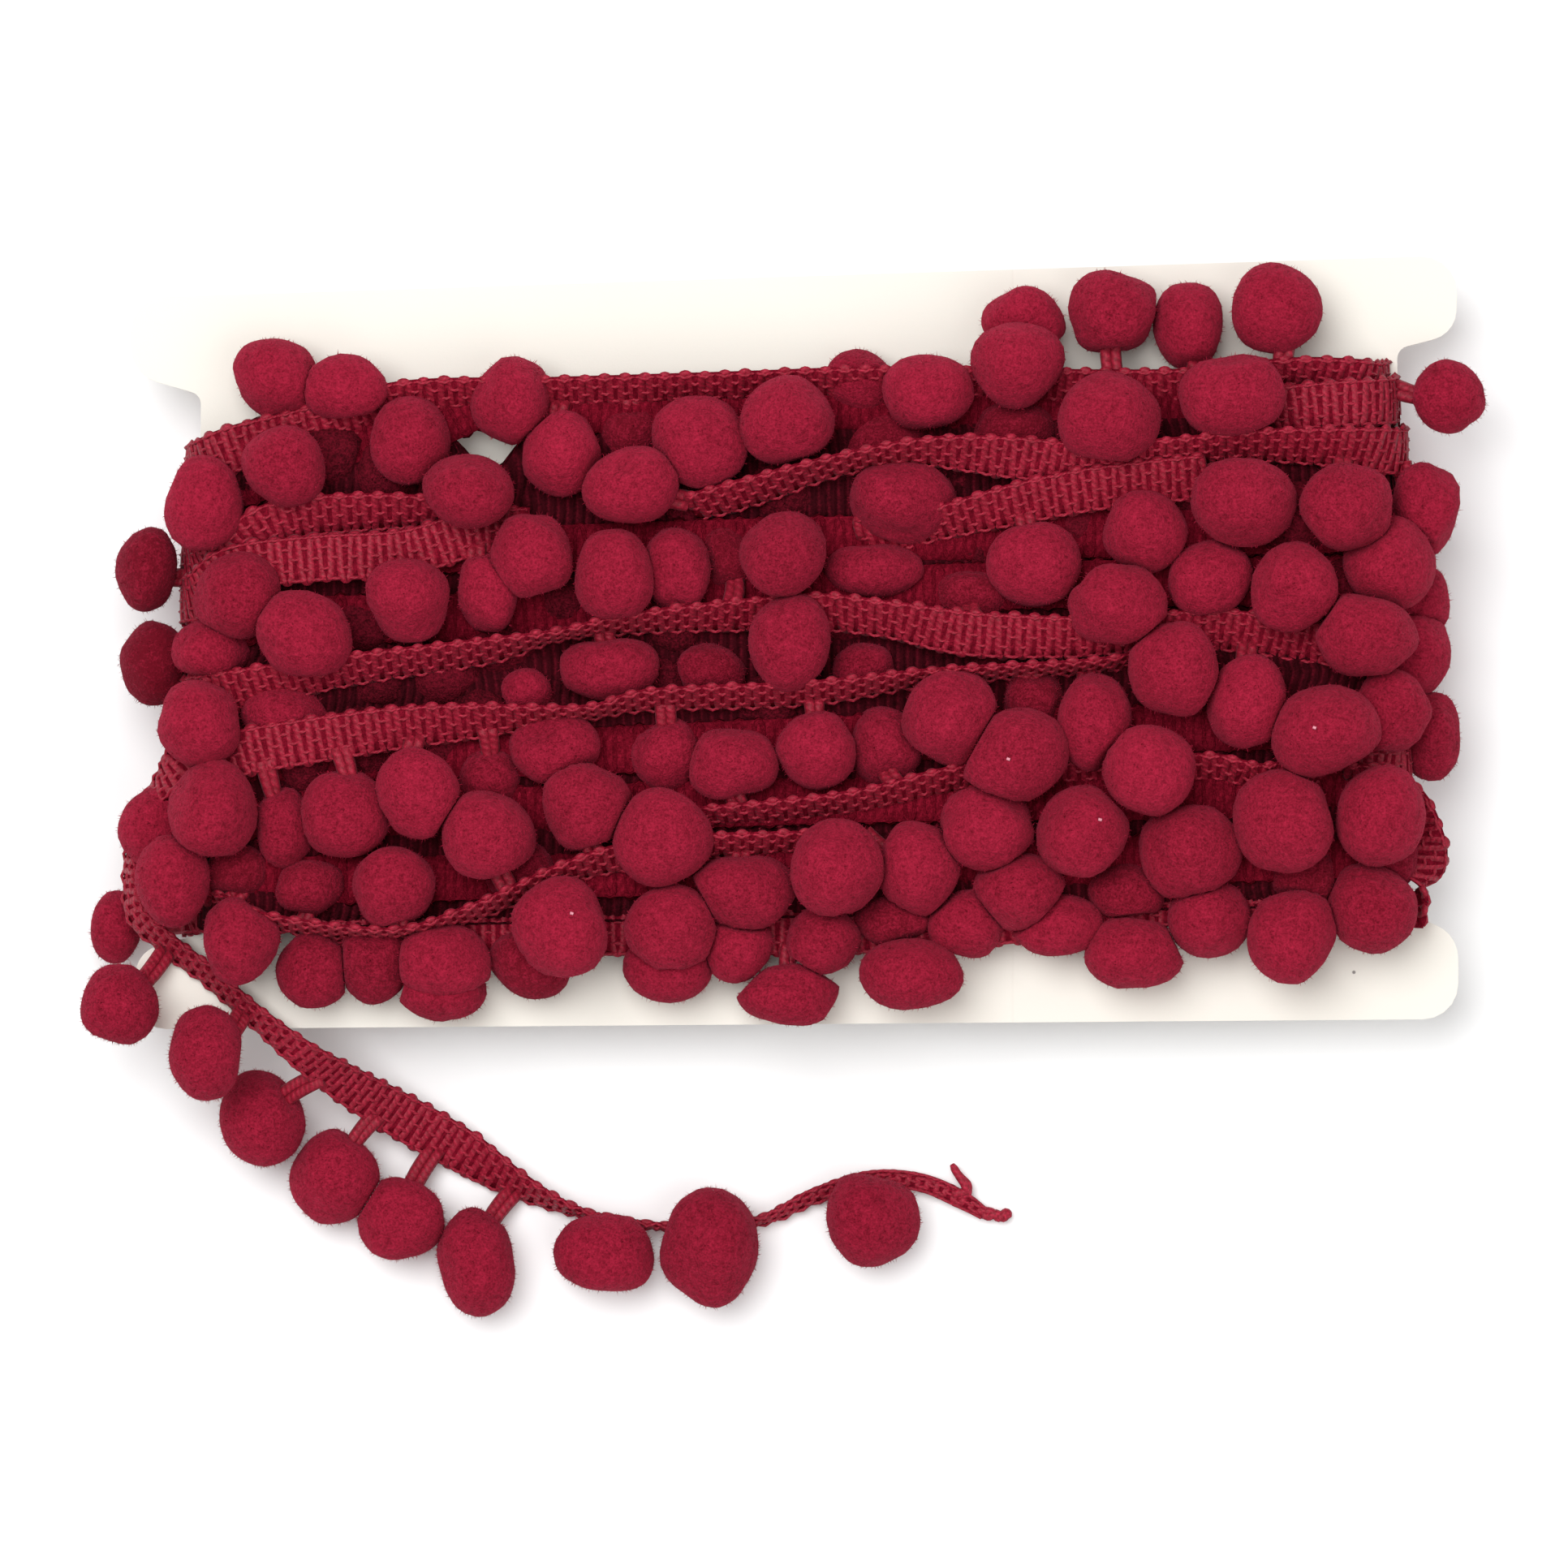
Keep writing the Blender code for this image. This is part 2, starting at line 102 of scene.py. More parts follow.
def newPiece(name, shape, material, replaced, smooth=True):
    # Points, loops and polygons go in as whole arrays. The tone attribute shades each yarn a little: random
    # tone, and painted shade where it is lowered.
    mesh = bpy.data.meshes.new(name)
    loops = np.concatenate([faces.ravel() for faces in shape["faces"]])
    sizes = np.concatenate([np.full(len(faces), faces.shape[1]) for faces in shape["faces"]])
    mesh.vertices.add(len(shape["points"]))
    mesh.vertices.foreach_set("co", shape["points"].astype(np.float32).ravel())
    mesh.loops.add(len(loops))
    mesh.loops.foreach_set("vertex_index", loops.astype(np.int32))
    mesh.polygons.add(len(sizes))
    mesh.polygons.foreach_set("loop_start", (np.cumsum(sizes) - sizes).astype(np.int32))
    uvs = np.concatenate([uv.reshape(-1, 2) for uv in shape["uvs"]])
    mesh.uv_layers.new(name="UVMap").uv.foreach_set("vector", uvs.astype(np.float32).ravel())
    tone = mesh.attributes.new("tone", "FLOAT", "POINT")
    tone.data.foreach_set("value", shape["tone"].astype(np.float32))
    mesh.update(calc_edges=True)
    mesh.validate()
    if smooth:
        mesh.shade_smooth()
    mesh.materials.append(material)
    piece = bpy.data.objects.new(name, mesh)
    bpy.context.scene.collection.objects.link(piece)
    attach(piece, "root")
    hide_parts(replaced)
    print(name, "has", int((sizes - 2).sum()), "triangles")
    return piece


def unit(vectors):
    # Each vector divided by its length, which is never taken as nothing.
    return vectors / np.maximum(np.linalg.norm(vectors, axis=-1, keepdims=True), 1e-12)


def addNode(tree, kind, x, y, **settings):
    # A shader node at a place in the editor, with its settings given by name.
    node = tree.nodes.new(kind)
    node.location = (x, y)
    for key, value in settings.items():
        setattr(node, key, value)
    return node


def newGroup(name, inputs, outputs):
    # A shader node group with named sockets: inputs give (name, kind, value), outputs (name, kind).
    group = bpy.data.node_groups.new(name, "ShaderNodeTree")
    for label, kind, value in inputs:
        socket = group.interface.new_socket(name=label, in_out="INPUT", socket_type=kind)
        socket.default_value = value
    for label, kind in outputs:
        group.interface.new_socket(name=label, in_out="OUTPUT", socket_type=kind)
    start = addNode(group, "NodeGroupInput", -900, 0)
    end = addNode(group, "NodeGroupOutput", 700, 0)
    return group, start, end


fibreNoise = {
    "detail": (3.0, 2.5, 1.5),  # of the fibres, the tufts and the patches
    "share": (1.80, 1.05, 0.35),  # how much each of them shifts the colour
    "rough": 0.62,
    "middle": 1.6,  # taken off the sum, so that the mix is from 0 to 1
    "tuftHeight": 1.6,  # the tufts' height against the fibres'
}


def makeFibreGroup(n):
    # Clipped fibre: fine, tufted and cloudy noise mix a deep and a lit colour, and tone shifts the mix.
    group, start, end = newGroup(
        "clippedFibre",
        [("Deep", "NodeSocketColor", (0.2, 0.01, 0.02, 1)),
         ("Lit", "NodeSocketColor", (0.4, 0.02, 0.05, 1)),
         ("Fibres", "NodeSocketFloat", 1500.0), ("Tufts", "NodeSocketFloat", 700.0),
         ("Patches", "NodeSocketFloat", 160.0)],
        [("Color", "NodeSocketColor"), ("Height", "NodeSocketFloat")],
    )
    link = group.links.new
    place = addNode(group, "ShaderNodeTexCoord", -900, -300)
    noises = []
    for label, detail, y in zip(("Fibres", "Tufts", "Patches"), n["detail"], (0, -300, -600)):
        noise = addNode(group, "ShaderNodeTexNoise", -650, y)
        noise.inputs["Detail"].default_value = detail
        noise.inputs["Roughness"].default_value = n["rough"]
        link(place.outputs["Object"], noise.inputs["Vector"])
        link(start.outputs[label], noise.inputs["Scale"])
        noises.append(noise)
    tone = addNode(group, "ShaderNodeAttribute", -650, -900, attribute_name="tone")
    total = tone.outputs["Fac"]
    for noise, share in zip(noises, n["share"]):
        part = addNode(group, "ShaderNodeMath", -350, noise.location[1], operation="MULTIPLY_ADD")
        part.inputs[1].default_value = share
        link(noise.outputs["Fac"], part.inputs[0])
        link(total, part.inputs[2])
        total = part.outputs[0]
    level = addNode(group, "ShaderNodeMath", -150, -300, operation="SUBTRACT", use_clamp=True)
    level.inputs[1].default_value = n["middle"]
    link(total, level.inputs[0])
    mix = addNode(group, "ShaderNodeMix", 200, 0, data_type="RGBA")
    link(level.outputs[0], mix.inputs["Factor"])
    link(start.outputs["Deep"], mix.inputs["A"])
    link(start.outputs["Lit"], mix.inputs["B"])
    link(mix.outputs["Result"], end.inputs["Color"])
    height = addNode(group, "ShaderNodeMath", 200, -300, operation="MULTIPLY_ADD")
    height.inputs[1].default_value = n["tuftHeight"]
    link(noises[1].outputs["Fac"], height.inputs[0])
    link(noises[0].outputs["Fac"], height.inputs[2])
    link(height.outputs[0], end.inputs["Height"])
    return group


def makePlyGroup():
    # Twisted plies: a sine of distance along plus turns round the yarn, from its own UV map.
    group, start, end = newGroup(
        "twistedPlies",
        [("Turns", "NodeSocketFloat", 1.0), ("Plies", "NodeSocketFloat", 2.0)],
        [("Height", "NodeSocketFloat")],
    )
    link = group.links.new
    place = addNode(group, "ShaderNodeUVMap", -900, -300, uv_map="UVMap")
    split = addNode(group, "ShaderNodeSeparateXYZ", -700, -300)
    link(place.outputs["UV"], split.inputs[0])
    along = addNode(group, "ShaderNodeMath", -500, -100, operation="MULTIPLY")
    link(split.outputs["X"], along.inputs[0])
    link(start.outputs["Turns"], along.inputs[1])
    around = addNode(group, "ShaderNodeMath", -500, -300, operation="MULTIPLY")
    link(split.outputs["Y"], around.inputs[0])
    link(start.outputs["Plies"], around.inputs[1])
    total = addNode(group, "ShaderNodeMath", -300, -200, operation="ADD")
    link(along.outputs[0], total.inputs[0])
    link(around.outputs[0], total.inputs[1])
    angle = addNode(group, "ShaderNodeMath", -100, -200, operation="MULTIPLY")
    angle.inputs[1].default_value = 2 * math.pi
    link(total.outputs[0], angle.inputs[0])
    wave = addNode(group, "ShaderNodeMath", 100, -200, operation="SINE")
    link(angle.outputs[0], wave.inputs[0])
    half = addNode(group, "ShaderNodeMath", 300, -200, operation="MULTIPLY_ADD")
    half.inputs[1].default_value = 0.5
    half.inputs[2].default_value = 0.5
    link(wave.outputs[0], half.inputs[0])
    link(half.outputs[0], end.inputs["Height"])
    return group


fibreGroup = makeFibreGroup(fibreNoise)
plyGroup = makePlyGroup()


def yarnMaterial(name, y):
    # Fibre colour and height, with the plies' twist over them where the yarn is twisted; the twist's
    # grooves are painted darker, as painted shade.
    material = bpy.data.materials.new(name)
    material.use_nodes = True
    tree = material.node_tree
    link = tree.links.new
    shader = tree.nodes["Principled BSDF"]
    shader.inputs["Roughness"].default_value = y["rough"]
    shader.inputs["Specular IOR Level"].default_value = y["gloss"]
    shader.inputs["Sheen Weight"].default_value = y["sheen"]
    shader.inputs["Sheen Roughness"].default_value = y["sheenRough"]
    shader.inputs["Sheen Tint"].default_value = y["sheenTint"]
    fibre = addNode(tree, "ShaderNodeGroup", -900, 200, node_tree=fibreGroup)
    fibre.inputs["Deep"].default_value = y["deep"]
    fibre.inputs["Lit"].default_value = y["lit"]
    fibre.inputs["Fibres"].default_value = y["fibres"]
    fibre.inputs["Tufts"].default_value = y["tufts"]
    fibre.inputs["Patches"].default_value = y["patches"]
    bump = addNode(tree, "ShaderNodeBump", -300, -200)
    bump.inputs["Strength"].default_value = y["bump"]
    bump.inputs["Distance"].default_value = y["depth"]
    link(bump.outputs["Normal"], shader.inputs["Normal"])
    if y["turns"]:
        ply = addNode(tree, "ShaderNodeGroup", -900, -200, node_tree=plyGroup)
        ply.inputs["Turns"].default_value = y["turns"]
        ply.inputs["Plies"].default_value = y["plies"]
        # Painted shade: the colour goes toward the deep one in the twist's grooves.
        shade = addNode(tree, "ShaderNodeMix", -300, 250, data_type="RGBA")
        dark = addNode(tree, "ShaderNodeMapRange", -600, 0)
        dark.inputs["To Min"].default_value = y["groove"]
        dark.inputs["To Max"].default_value = 0.0
        link(ply.outputs["Height"], dark.inputs["Value"])
        link(dark.outputs["Result"], shade.inputs["Factor"])
        link(fibre.outputs["Color"], shade.inputs["A"])
        shade.inputs["B"].default_value = y["deep"]
        link(shade.outputs["Result"], shader.inputs["Base Color"])
        height = addNode(tree, "ShaderNodeMath", -600, -300, operation="MULTIPLY_ADD")
        height.inputs[1].default_value = y["fibreHeight"]
        link(fibre.outputs["Height"], height.inputs[0])
        link(ply.outputs["Height"], height.inputs[2])
        link(height.outputs[0], bump.inputs["Height"])
    else:
        link(fibre.outputs["Color"], shader.inputs["Base Color"])
        link(fibre.outputs["Height"], bump.inputs["Height"])
    return material


pomFinish = {
    "deep": (0.128, 0.0031, 0.0108, 1.0),
    "lit": (0.375, 0.0138, 0.0425, 1.0),
    "sheenTint": (1.0, 0.15, 0.26, 1.0),
    "rough": 0.95, "gloss": 0.08, "sheen": 0.16, "sheenRough": 0.45,
    "fibres": 2300.0, "tufts": 800.0, "patches": 230.0,
    "bump": 0.8, "depth": 0.00040,
    "turns": 0.0, "plies": 0.0, "groove": 0.0,  # the twist: turns along, plies round, and its shade
    "fibreHeight": 0.35,  # the fibres' height against the twist's
}
# The fibres' colours are lighter than the pompoms': painted light, against the shade on their thin faces.
fuzzFinish = dict(pomFinish, deep=(0.215, 0.0058, 0.0185, 1.0), lit=(0.540, 0.0240, 0.0680, 1.0),
                  bump=0.1, depth=0.00003, sheen=0.0)
braidFinish = {
    "deep": (0.135, 0.0026, 0.0095, 1.0),
    "lit": (0.470, 0.0150, 0.0480, 1.0),
    "sheenTint": (1.0, 0.50, 0.60, 1.0),
    "rough": 0.56, "gloss": 0.24, "sheen": 0.06, "sheenRough": 0.45,
    "fibres": 3400.0, "tufts": 1300.0, "patches": 240.0,
    "bump": 0.55, "depth": 0.00014,
    "turns": 0.8, "plies": 2.0, "groove": 0.45, "fibreHeight": 0.35,
}
# The threads inside the braid are darker than its yarn: painted shade between the crossings.
tapeFinish = dict(braidFinish, deep=(0.075, 0.0018, 0.0062, 1.0), lit=(0.30, 0.0092, 0.0290, 1.0),
                  sheen=0.0, gloss=0.02, rough=0.9, turns=0.6, plies=8.0)
# The turns underneath are given much darker colours and deep twist grooves: painted shade in the gaps.
turnsShadeFinish = dict(pomFinish, deep=(0.030, 0.0010, 0.0034, 1.0), lit=(0.14, 0.0048, 0.0150, 1.0),
                   bump=1.0, depth=0.0009, turns=1 / 2.05, groove=0.8, sheen=0.0)
# The wool in the gaps is given darker colours than the pompoms above: painted shade.
lowShadeFinish = dict(pomFinish, deep=(0.042, 0.0012, 0.0040, 1.0), lit=(0.21, 0.0068, 0.0215, 1.0), sheen=0.0)

pomWool = yarnMaterial("clipped crimson wool", pomFinish)
lowShadeWool = yarnMaterial("wool in the gaps", lowShadeFinish)
fuzzWool = yarnMaterial("loose wool ends", fuzzFinish)
braidYarn = yarnMaterial("braid yarn", braidFinish)
tapeYarn = yarnMaterial("lengthwise threads", tapeFinish)
turnsYarn = yarnMaterial("turns underneath", turnsShadeFinish)
lintFinish = dict(fuzzFinish, deep=(0.60, 0.20, 0.26, 1.0), lit=(0.78, 0.36, 0.42, 1.0))
lintYarn = yarnMaterial("pale lint", lintFinish)


boardFinish = {
    "face": (0.805, 0.778, 0.708, 1.0),
    "shade": (0.735, 0.695, 0.630, 1.0),
    "speck": (0.12, 0.10, 0.10, 1.0),
    "rough": 0.62, "gloss": 0.3,
    "clouds": 14.0, "cloudShade": (0.55, -0.08),  # shade = the first times the cloud, plus the second
    "grain": 2400.0, "bump": 0.35, "depth": 0.00008,
    "creaseX": 45.0 * mm, "creaseWide": 0.5 * mm, "creaseShade": 0.25,
    "specks": ((112.0, -37.0, 0.45),), "speckShade": 0.8,  # x, y and size
    "top": 21.7,  # the board's upper face
}


def boardMaterial(b):
    # Off-white board: cloudy shade, fine grain, one faint upright crease with painted shade along it, and a
    # small dark speck.
    material = bpy.data.materials.new("pale winding board")
    material.use_nodes = True
    tree = material.node_tree
    link = tree.links.new
    shader = tree.nodes["Principled BSDF"]
    shader.inputs["Roughness"].default_value = b["rough"]
    shader.inputs["Specular IOR Level"].default_value = b["gloss"]
    place = addNode(tree, "ShaderNodeTexCoord", -1500, 0)
    cloud = addNode(tree, "ShaderNodeTexNoise", -1200, 300)
    cloud.inputs["Scale"].default_value = b["clouds"]
    cloud.inputs["Detail"].default_value = 3.0
    grain = addNode(tree, "ShaderNodeTexNoise", -1200, 0)
    grain.inputs["Scale"].default_value = b["grain"]
    grain.inputs["Detail"].default_value = 4.0
    link(place.outputs["Object"], cloud.inputs["Vector"])
    link(place.outputs["Object"], grain.inputs["Vector"])
    split = addNode(tree, "ShaderNodeSeparateXYZ", -1200, -300)
    link(place.outputs["Object"], split.inputs[0])
    off = addNode(tree, "ShaderNodeMath", -1000, -300, operation="SUBTRACT")
    off.inputs[1].default_value = b["creaseX"]
    link(split.outputs["X"], off.inputs[0])
    far = addNode(tree, "ShaderNodeMath", -850, -300, operation="ABSOLUTE")
    link(off.outputs[0], far.inputs[0])
    crease = addNode(tree, "ShaderNodeMapRange", -700, -300, interpolation_type="SMOOTHSTEP")
    crease.inputs["From Max"].default_value = b["creaseWide"]
    crease.inputs["To Min"].default_value = 1.0
    crease.inputs["To Max"].default_value = 0.0
    link(far.outputs[0], crease.inputs["Value"])
    amount = addNode(tree, "ShaderNodeMath", -700, 200, operation="MULTIPLY_ADD", use_clamp=True)
    amount.inputs[1].default_value = b["cloudShade"][0]
    amount.inputs[2].default_value = b["cloudShade"][1]
    link(cloud.outputs["Fac"], amount.inputs[0])
    both = addNode(tree, "ShaderNodeMath", -500, 100, operation="MULTIPLY_ADD", use_clamp=True)
    both.inputs[1].default_value = b["creaseShade"]
    link(crease.outputs["Result"], both.inputs[0])
    link(amount.outputs[0], both.inputs[2])
    tint = addNode(tree, "ShaderNodeMix", -300, 200, data_type="RGBA")
    tint.inputs["A"].default_value = b["face"]
    tint.inputs["B"].default_value = b["shade"]
    link(both.outputs[0], tint.inputs["Factor"])
    colour = tint.outputs["Result"]
    for x, y, size in b["specks"]:
        away = addNode(tree, "ShaderNodeVectorMath", -600, -600, operation="DISTANCE")
        away.inputs[1].default_value = (x * mm, y * mm, b["top"] * mm)
        link(place.outputs["Object"], away.inputs[0])
        spot = addNode(tree, "ShaderNodeMapRange", -400, -600, interpolation_type="SMOOTHSTEP")
        spot.inputs["From Min"].default_value = size * mm * 0.5
        spot.inputs["From Max"].default_value = size * mm
        spot.inputs["To Min"].default_value = b["speckShade"]
        spot.inputs["To Max"].default_value = 0.0
        link(away.outputs["Value"], spot.inputs["Value"])
        mark = addNode(tree, "ShaderNodeMix", -150, 0, data_type="RGBA")
        link(spot.outputs["Result"], mark.inputs["Factor"])
        link(colour, mark.inputs["A"])
        mark.inputs["B"].default_value = b["speck"]
        colour = mark.outputs["Result"]
    link(colour, shader.inputs["Base Color"])
    bump = addNode(tree, "ShaderNodeBump", -300, -250)
    bump.inputs["Strength"].default_value = b["bump"]
    bump.inputs["Distance"].default_value = b["depth"]
    tall = addNode(tree, "ShaderNodeMath", -500, -250, operation="SUBTRACT")
    link(grain.outputs["Fac"], tall.inputs[0])
    link(crease.outputs["Result"], tall.inputs[1])
    link(tall.outputs[0], bump.inputs["Height"])
    link(bump.outputs["Normal"], shader.inputs["Normal"])
    return material


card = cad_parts["card"]
card.data.materials.clear()
card.data.materials.append(boardMaterial(boardFinish))
print("card finished")


# Each turn that shows: its braid as x, y, z and roll, and its pompoms as x, y, z, width, height.
windings = [
    {"name": "top edge",
     "braid": ((-113.5, 63, 29.5, 10), (-107, 65.5, 33, 10), (-94, 69, 33, 20), (-74, 75, 33, 40),
               (-45, 76.2, 34, 50), (-10, 77.4, 34, 52), (16, 78.2, 34, 50), (36, 78, 34, 50),
               (60, 77, 33, 35), (80, 77.5, 33, 40), (98, 80, 33, 50), (110, 79, 32, 30),
               (116.2, 78, 28, 5)),
     "poms": ((-99, 79, 32, 15.8, 16.5), (-86, 77, 34, 17.5, 13.8), (-73, 67, 35, 15.2, 17.2),
              (-53, 75, 34, 15.2, 17.5), (-62, 57, 40, 19, 15.2), (-43.6, 63.9, 35, 15.4, 16.5),
              (-30, 58, 40, 19.9, 15.6), (-30, 69, 27, 15, 14), (-16.4, 67, 37, 18.0, 16.4),
              (15, 78.6, 29, 14, 12.6), (0.8, 70.6, 39, 17.5, 16.4), (20, 66, 28, 17, 15),
              (28.3, 75.6, 37, 18.1, 15.4), (47, 91, 31, 16.2, 12.7), (45.3, 81.2, 38, 17.6, 16.5),
              (64, 92, 32, 17.6, 17.2), (79.2, 89.2, 31, 14.6, 17.2), (96, 93, 33, 17.0, 17.5),
              (63, 71, 41, 19.4, 17), (87, 76, 40, 19.4, 16.2), (130.4, 75.6, 27, 16.2, 14.4))},
    {"name": "right patch",
     "braid": ((94, 73, 34, 20), (107, 74, 36, 10), (115, 74.5, 33.5, 5), (119, 75, 28, 0)),
     "poms": ()},
    {"name": "upper right",
     "braid": ((-18, 54, 35, 60), (-6.6, 57, 37, 57), (11, 62.3, 39, 68), (27, 64.7, 40, 58),
               (44, 63.6, 40, 32), (59, 62.5, 38, 35), (75, 64.5, 37, 53), (94, 66, 37, 50),
               (112, 65.5, 35, 30), (120.6, 65, 28, 5)),
     "poms": ((22.2, 55.2, 35.5, 20.2, 15.8), (45, 69, 28, 16, 15), (89.4, 54.6, 40, 21, 17.4),
              (109.7, 53.9, 40, 19.2, 18.1), (125.4, 54, 28, 13, 19), (70, 49, 36, 16.5, 15.9))},
    {"name": "third right",
     "braid": ((15, 48, 33, 30), (30, 51, 36, 48), (45, 54.5, 37, 30), (60, 57.5, 37, 22),
               (82, 60, 36, 20)),
     "poms": ((17.5, 42, 32, 18.6, 12.1), (49, 43, 36, 18.1, 17.5), (64.7, 35.2, 40, 19.7, 16.8),
              (83, 40, 35, 15.6, 15.9), (99, 38, 40, 17.5, 17.5), (118, 43, 34, 17.5, 19),
              (113, 28.7, 40, 19.8, 15.8))},
    {"name": "upper left",
     "braid": ((-111, 44, 32, 30), (-99, 51, 35, 30), (-83, 53, 35, 40), (-69, 53, 35, 50),
               (-58, 51, 32, 50)),
     "poms": ((-97, 62, 39, 17.7, 17.2), (-113, 55, 35, 15.9, 16.8), (-125, 42, 25, 12.7, 16.5),
              (-107, 37, 36, 16.5, 17.5))},
    {"name": "wide left",
     "braid": ((-114.5, 37, 30, 10), (-107, 42, 35, 10), (-90, 44, 37, 0), (-74, 45, 37, 5),
               (-60, 49, 36, 10), (-50, 50, 33, 30)),
     "poms": ((-93, 29, 40, 18.4, 16.5), (-73, 36, 40, 16.5, 15.9), (-58, 38, 36, 12.1, 16.5),
              (-49, 45, 40, 15.9, 16.5), (-33.2, 40.8, 40, 15.5, 18.4), (-21.2, 41.8, 35, 14.8, 17.6),
              (0, 44.7, 41, 16.8, 16.6))},
    {"name": "middle",
     "braid": ((-114.5, 17, 30, 20), (-109, 18, 34, 30), (-87, 22, 37, 50), (-58, 26, 37, 60),
               (-45, 29, 37, 80), (-33, 31, 37, 70), (-20, 32.3, 37, 60), (-8, 33, 36, 50),
               (7, 33.6, 36, 40), (21, 32, 38, 40), (36, 29.3, 38, 20), (55, 28.6, 37.5, 30),
               (63, 29, 37, 35), (85, 30, 34, 30), (101, 28, 33, 30), (114, 26.5, 32, 20),
               (121.6, 26, 27.5, 0)),
     "poms": ((-124, 23, 23, 13.3, 17.5), (-112, 26, 32, 15.9, 12.7), (-50, 18, 31, 11.1, 9.5),
              (-34, 23, 34, 20.6, 12.7), (-14, 22, 31, 14.3, 11.1), (1, 28, 40, 16.5, 18.4),
              (16, 22, 31, 13.3, 11.1), (60.8, 12.8, 36, 15.4, 19.4), (75.6, 22.5, 40, 17.5, 18.6),
              (89.8, 16, 37.5, 15.8, 18.8), (105, 10.2, 41, 21.8, 18.6), (118, 14, 34, 14.3, 15.9),
              (123.5, 36.5, 21, 14.5, 14.5), (123.2, 25.5, 24, 15, 17.5), (126.8, 9.7, 22, 12, 16.6))},
    {"name": "lower middle",
     "braid": ((-114.5, 2, 30.5, 10), (-106, 6, 36, 10), (-82, 10, 38, 20), (-64, 12, 38, 40),
               (-39, 14, 38, 75), (-26, 16.5, 38, 66), (5, 17.8, 38, 62), (29, 21, 37, 72),
               (58, 23, 35, 75), (69, 24, 32, 60)),
     "poms": ((-114, 12, 38, 15.9, 17.5), (-97, 13, 32, 15.9, 11.1), (-45, 6.6, 34, 19, 14.6),
              (-23, 6, 32, 12.4, 14.6), (-9.8, 4.1, 36, 16.8, 15.2), (6.2, 6.9, 36, 15.9, 15.2),
              (20, 7, 32, 14.3, 15.9), (32, 13, 39, 19, 18.8), (-122.6, -9, 28.5, 13.6, 16),
              (-111, -5, 39, 16.5, 19.7), (-98, -8, 32, 12.6, 15.9), (-85, -6, 36, 16.5, 19),
              (-71, -2, 40, 15.9, 18.4), (-38.9, -3.8, 38, 16.4, 18))},
    {"name": "low right",
     "braid": ((-18, -7.3, 33, 55), (-2, -5.6, 35, 58), (15, -3.3, 36, 60), (34, 1, 35.5, 55),
               (53, 1, 32, 40), (82, 3, 34, 50), (94, 1, 34, 50), (112, 4, 32, 25), (121.2, 4, 27.5, 0)),
     "poms": ((10.3, -16.8, 40, 18.6, 19.6), (26.2, -16.2, 34, 17, 19.6), (39, -8.8, 37, 19.2, 17.2),
              (45, 5.8, 40, 19.7, 17.6), (58, -9.8, 40, 18.4, 18.6), (71, 2.6, 40, 19.2, 19.2),
              (78.6, -13.5, 36, 18.4, 18.4), (97.4, -7.1, 40, 19.2, 19.2), (116.4, -6.8, 38, 17.6, 19),
              (117, -14, 24, 15, 17))},
    {"name": "right hang", "wrap": False,
     "braid": ((110, 1, 32, 50), (117, 1.5, 31.5, 70), (122.4, -2, 29.5, 84), (125.2, -10, 27, 88),
               (125.4, -18, 25, 88), (124.2, -24, 25, 86), (122.8, -28, 25.5, 84)),
     "poms": ()},
    {"name": "low left",
     "braid": ((-107, -24, 31, 60), (-99, -27, 35, 70), (-76, -29, 36, 78), (-61, -25, 37, 72),
               (-42, -17, 37, 64), (-28, -13.5, 37, 55), (-14, -12, 37, 60), (2, -11.4, 36, 62),
               (15, -11, 32, 60)),
     "poms": ((-132, -28, 11, 10, 14.3), (-119, -19, 37, 14.3, 19), (-106, -30, 37, 15.2, 16.5),
              (-93, -20, 32, 13.3, 11.1), (-76, -20, 38, 16.8, 15.9), (-57.9, -10.4, 40, 20, 19.2),
              (-43, -28, 40, 18.8, 19.2), (-67, -34.5, 35, 18.6, 14.8), (-67, -39.4, 31, 17.6, 14),
              (-23.8, -10.8, 40, 19, 18.8), (-21.8, -28.1, 36, 17.4, 17), (-22, -36, 31, 17.4, 14),
              (-9, -32, 32, 15, 13), (-7.8, -20.9, 35, 19.8, 14.6))},
    {"name": "bottom edge",
     "braid": ((-90, -29, 30, 0), (-50, -29, 30, 0), (-10, -29, 30, 0), (29, -28, 30, 0),
               (69, -24, 30, 0), (101, -20, 30, 0), (114, -19, 29, 0)),
     "poms": ((-92, -36, 31, 15.2, 15), (-80, -35.4, 31, 15.4, 15), (-49.5, -34.4, 30, 16, 15),
              (0.9, -41.2, 32, 19.2, 12.7), (7.8, -30.4, 33, 15, 14.3), (24.8, -37.4, 34, 19.8, 14),
              (66.9, -21.2, 31, 14.4, 12), (101.8, -18.2, 30, 14, 12), (21.4, -26.5, 31, 14, 10),
              (-52, -17, 31, 15, 12), (-106, -17, 30, 13, 11), (-57.5, 1.5, 31, 13, 13),
              (-11, 44, 30, 12, 14), (36.5, 37, 31, 14, 10), (48.5, 16.5, 31, 12, 12),
              (36.1, -27.4, 31.5, 15.8, 13.2), (45.6, -20.5, 34, 18.4, 14.8), (53, -27.4, 31, 17.6, 13.2),
              (68.2, -33, 32, 19.6, 15), (82.4, -26.3, 33, 16, 16.1), (99, -29, 35, 16.5, 18.8),
              (115, -24.2, 33, 18, 17.3))},
]

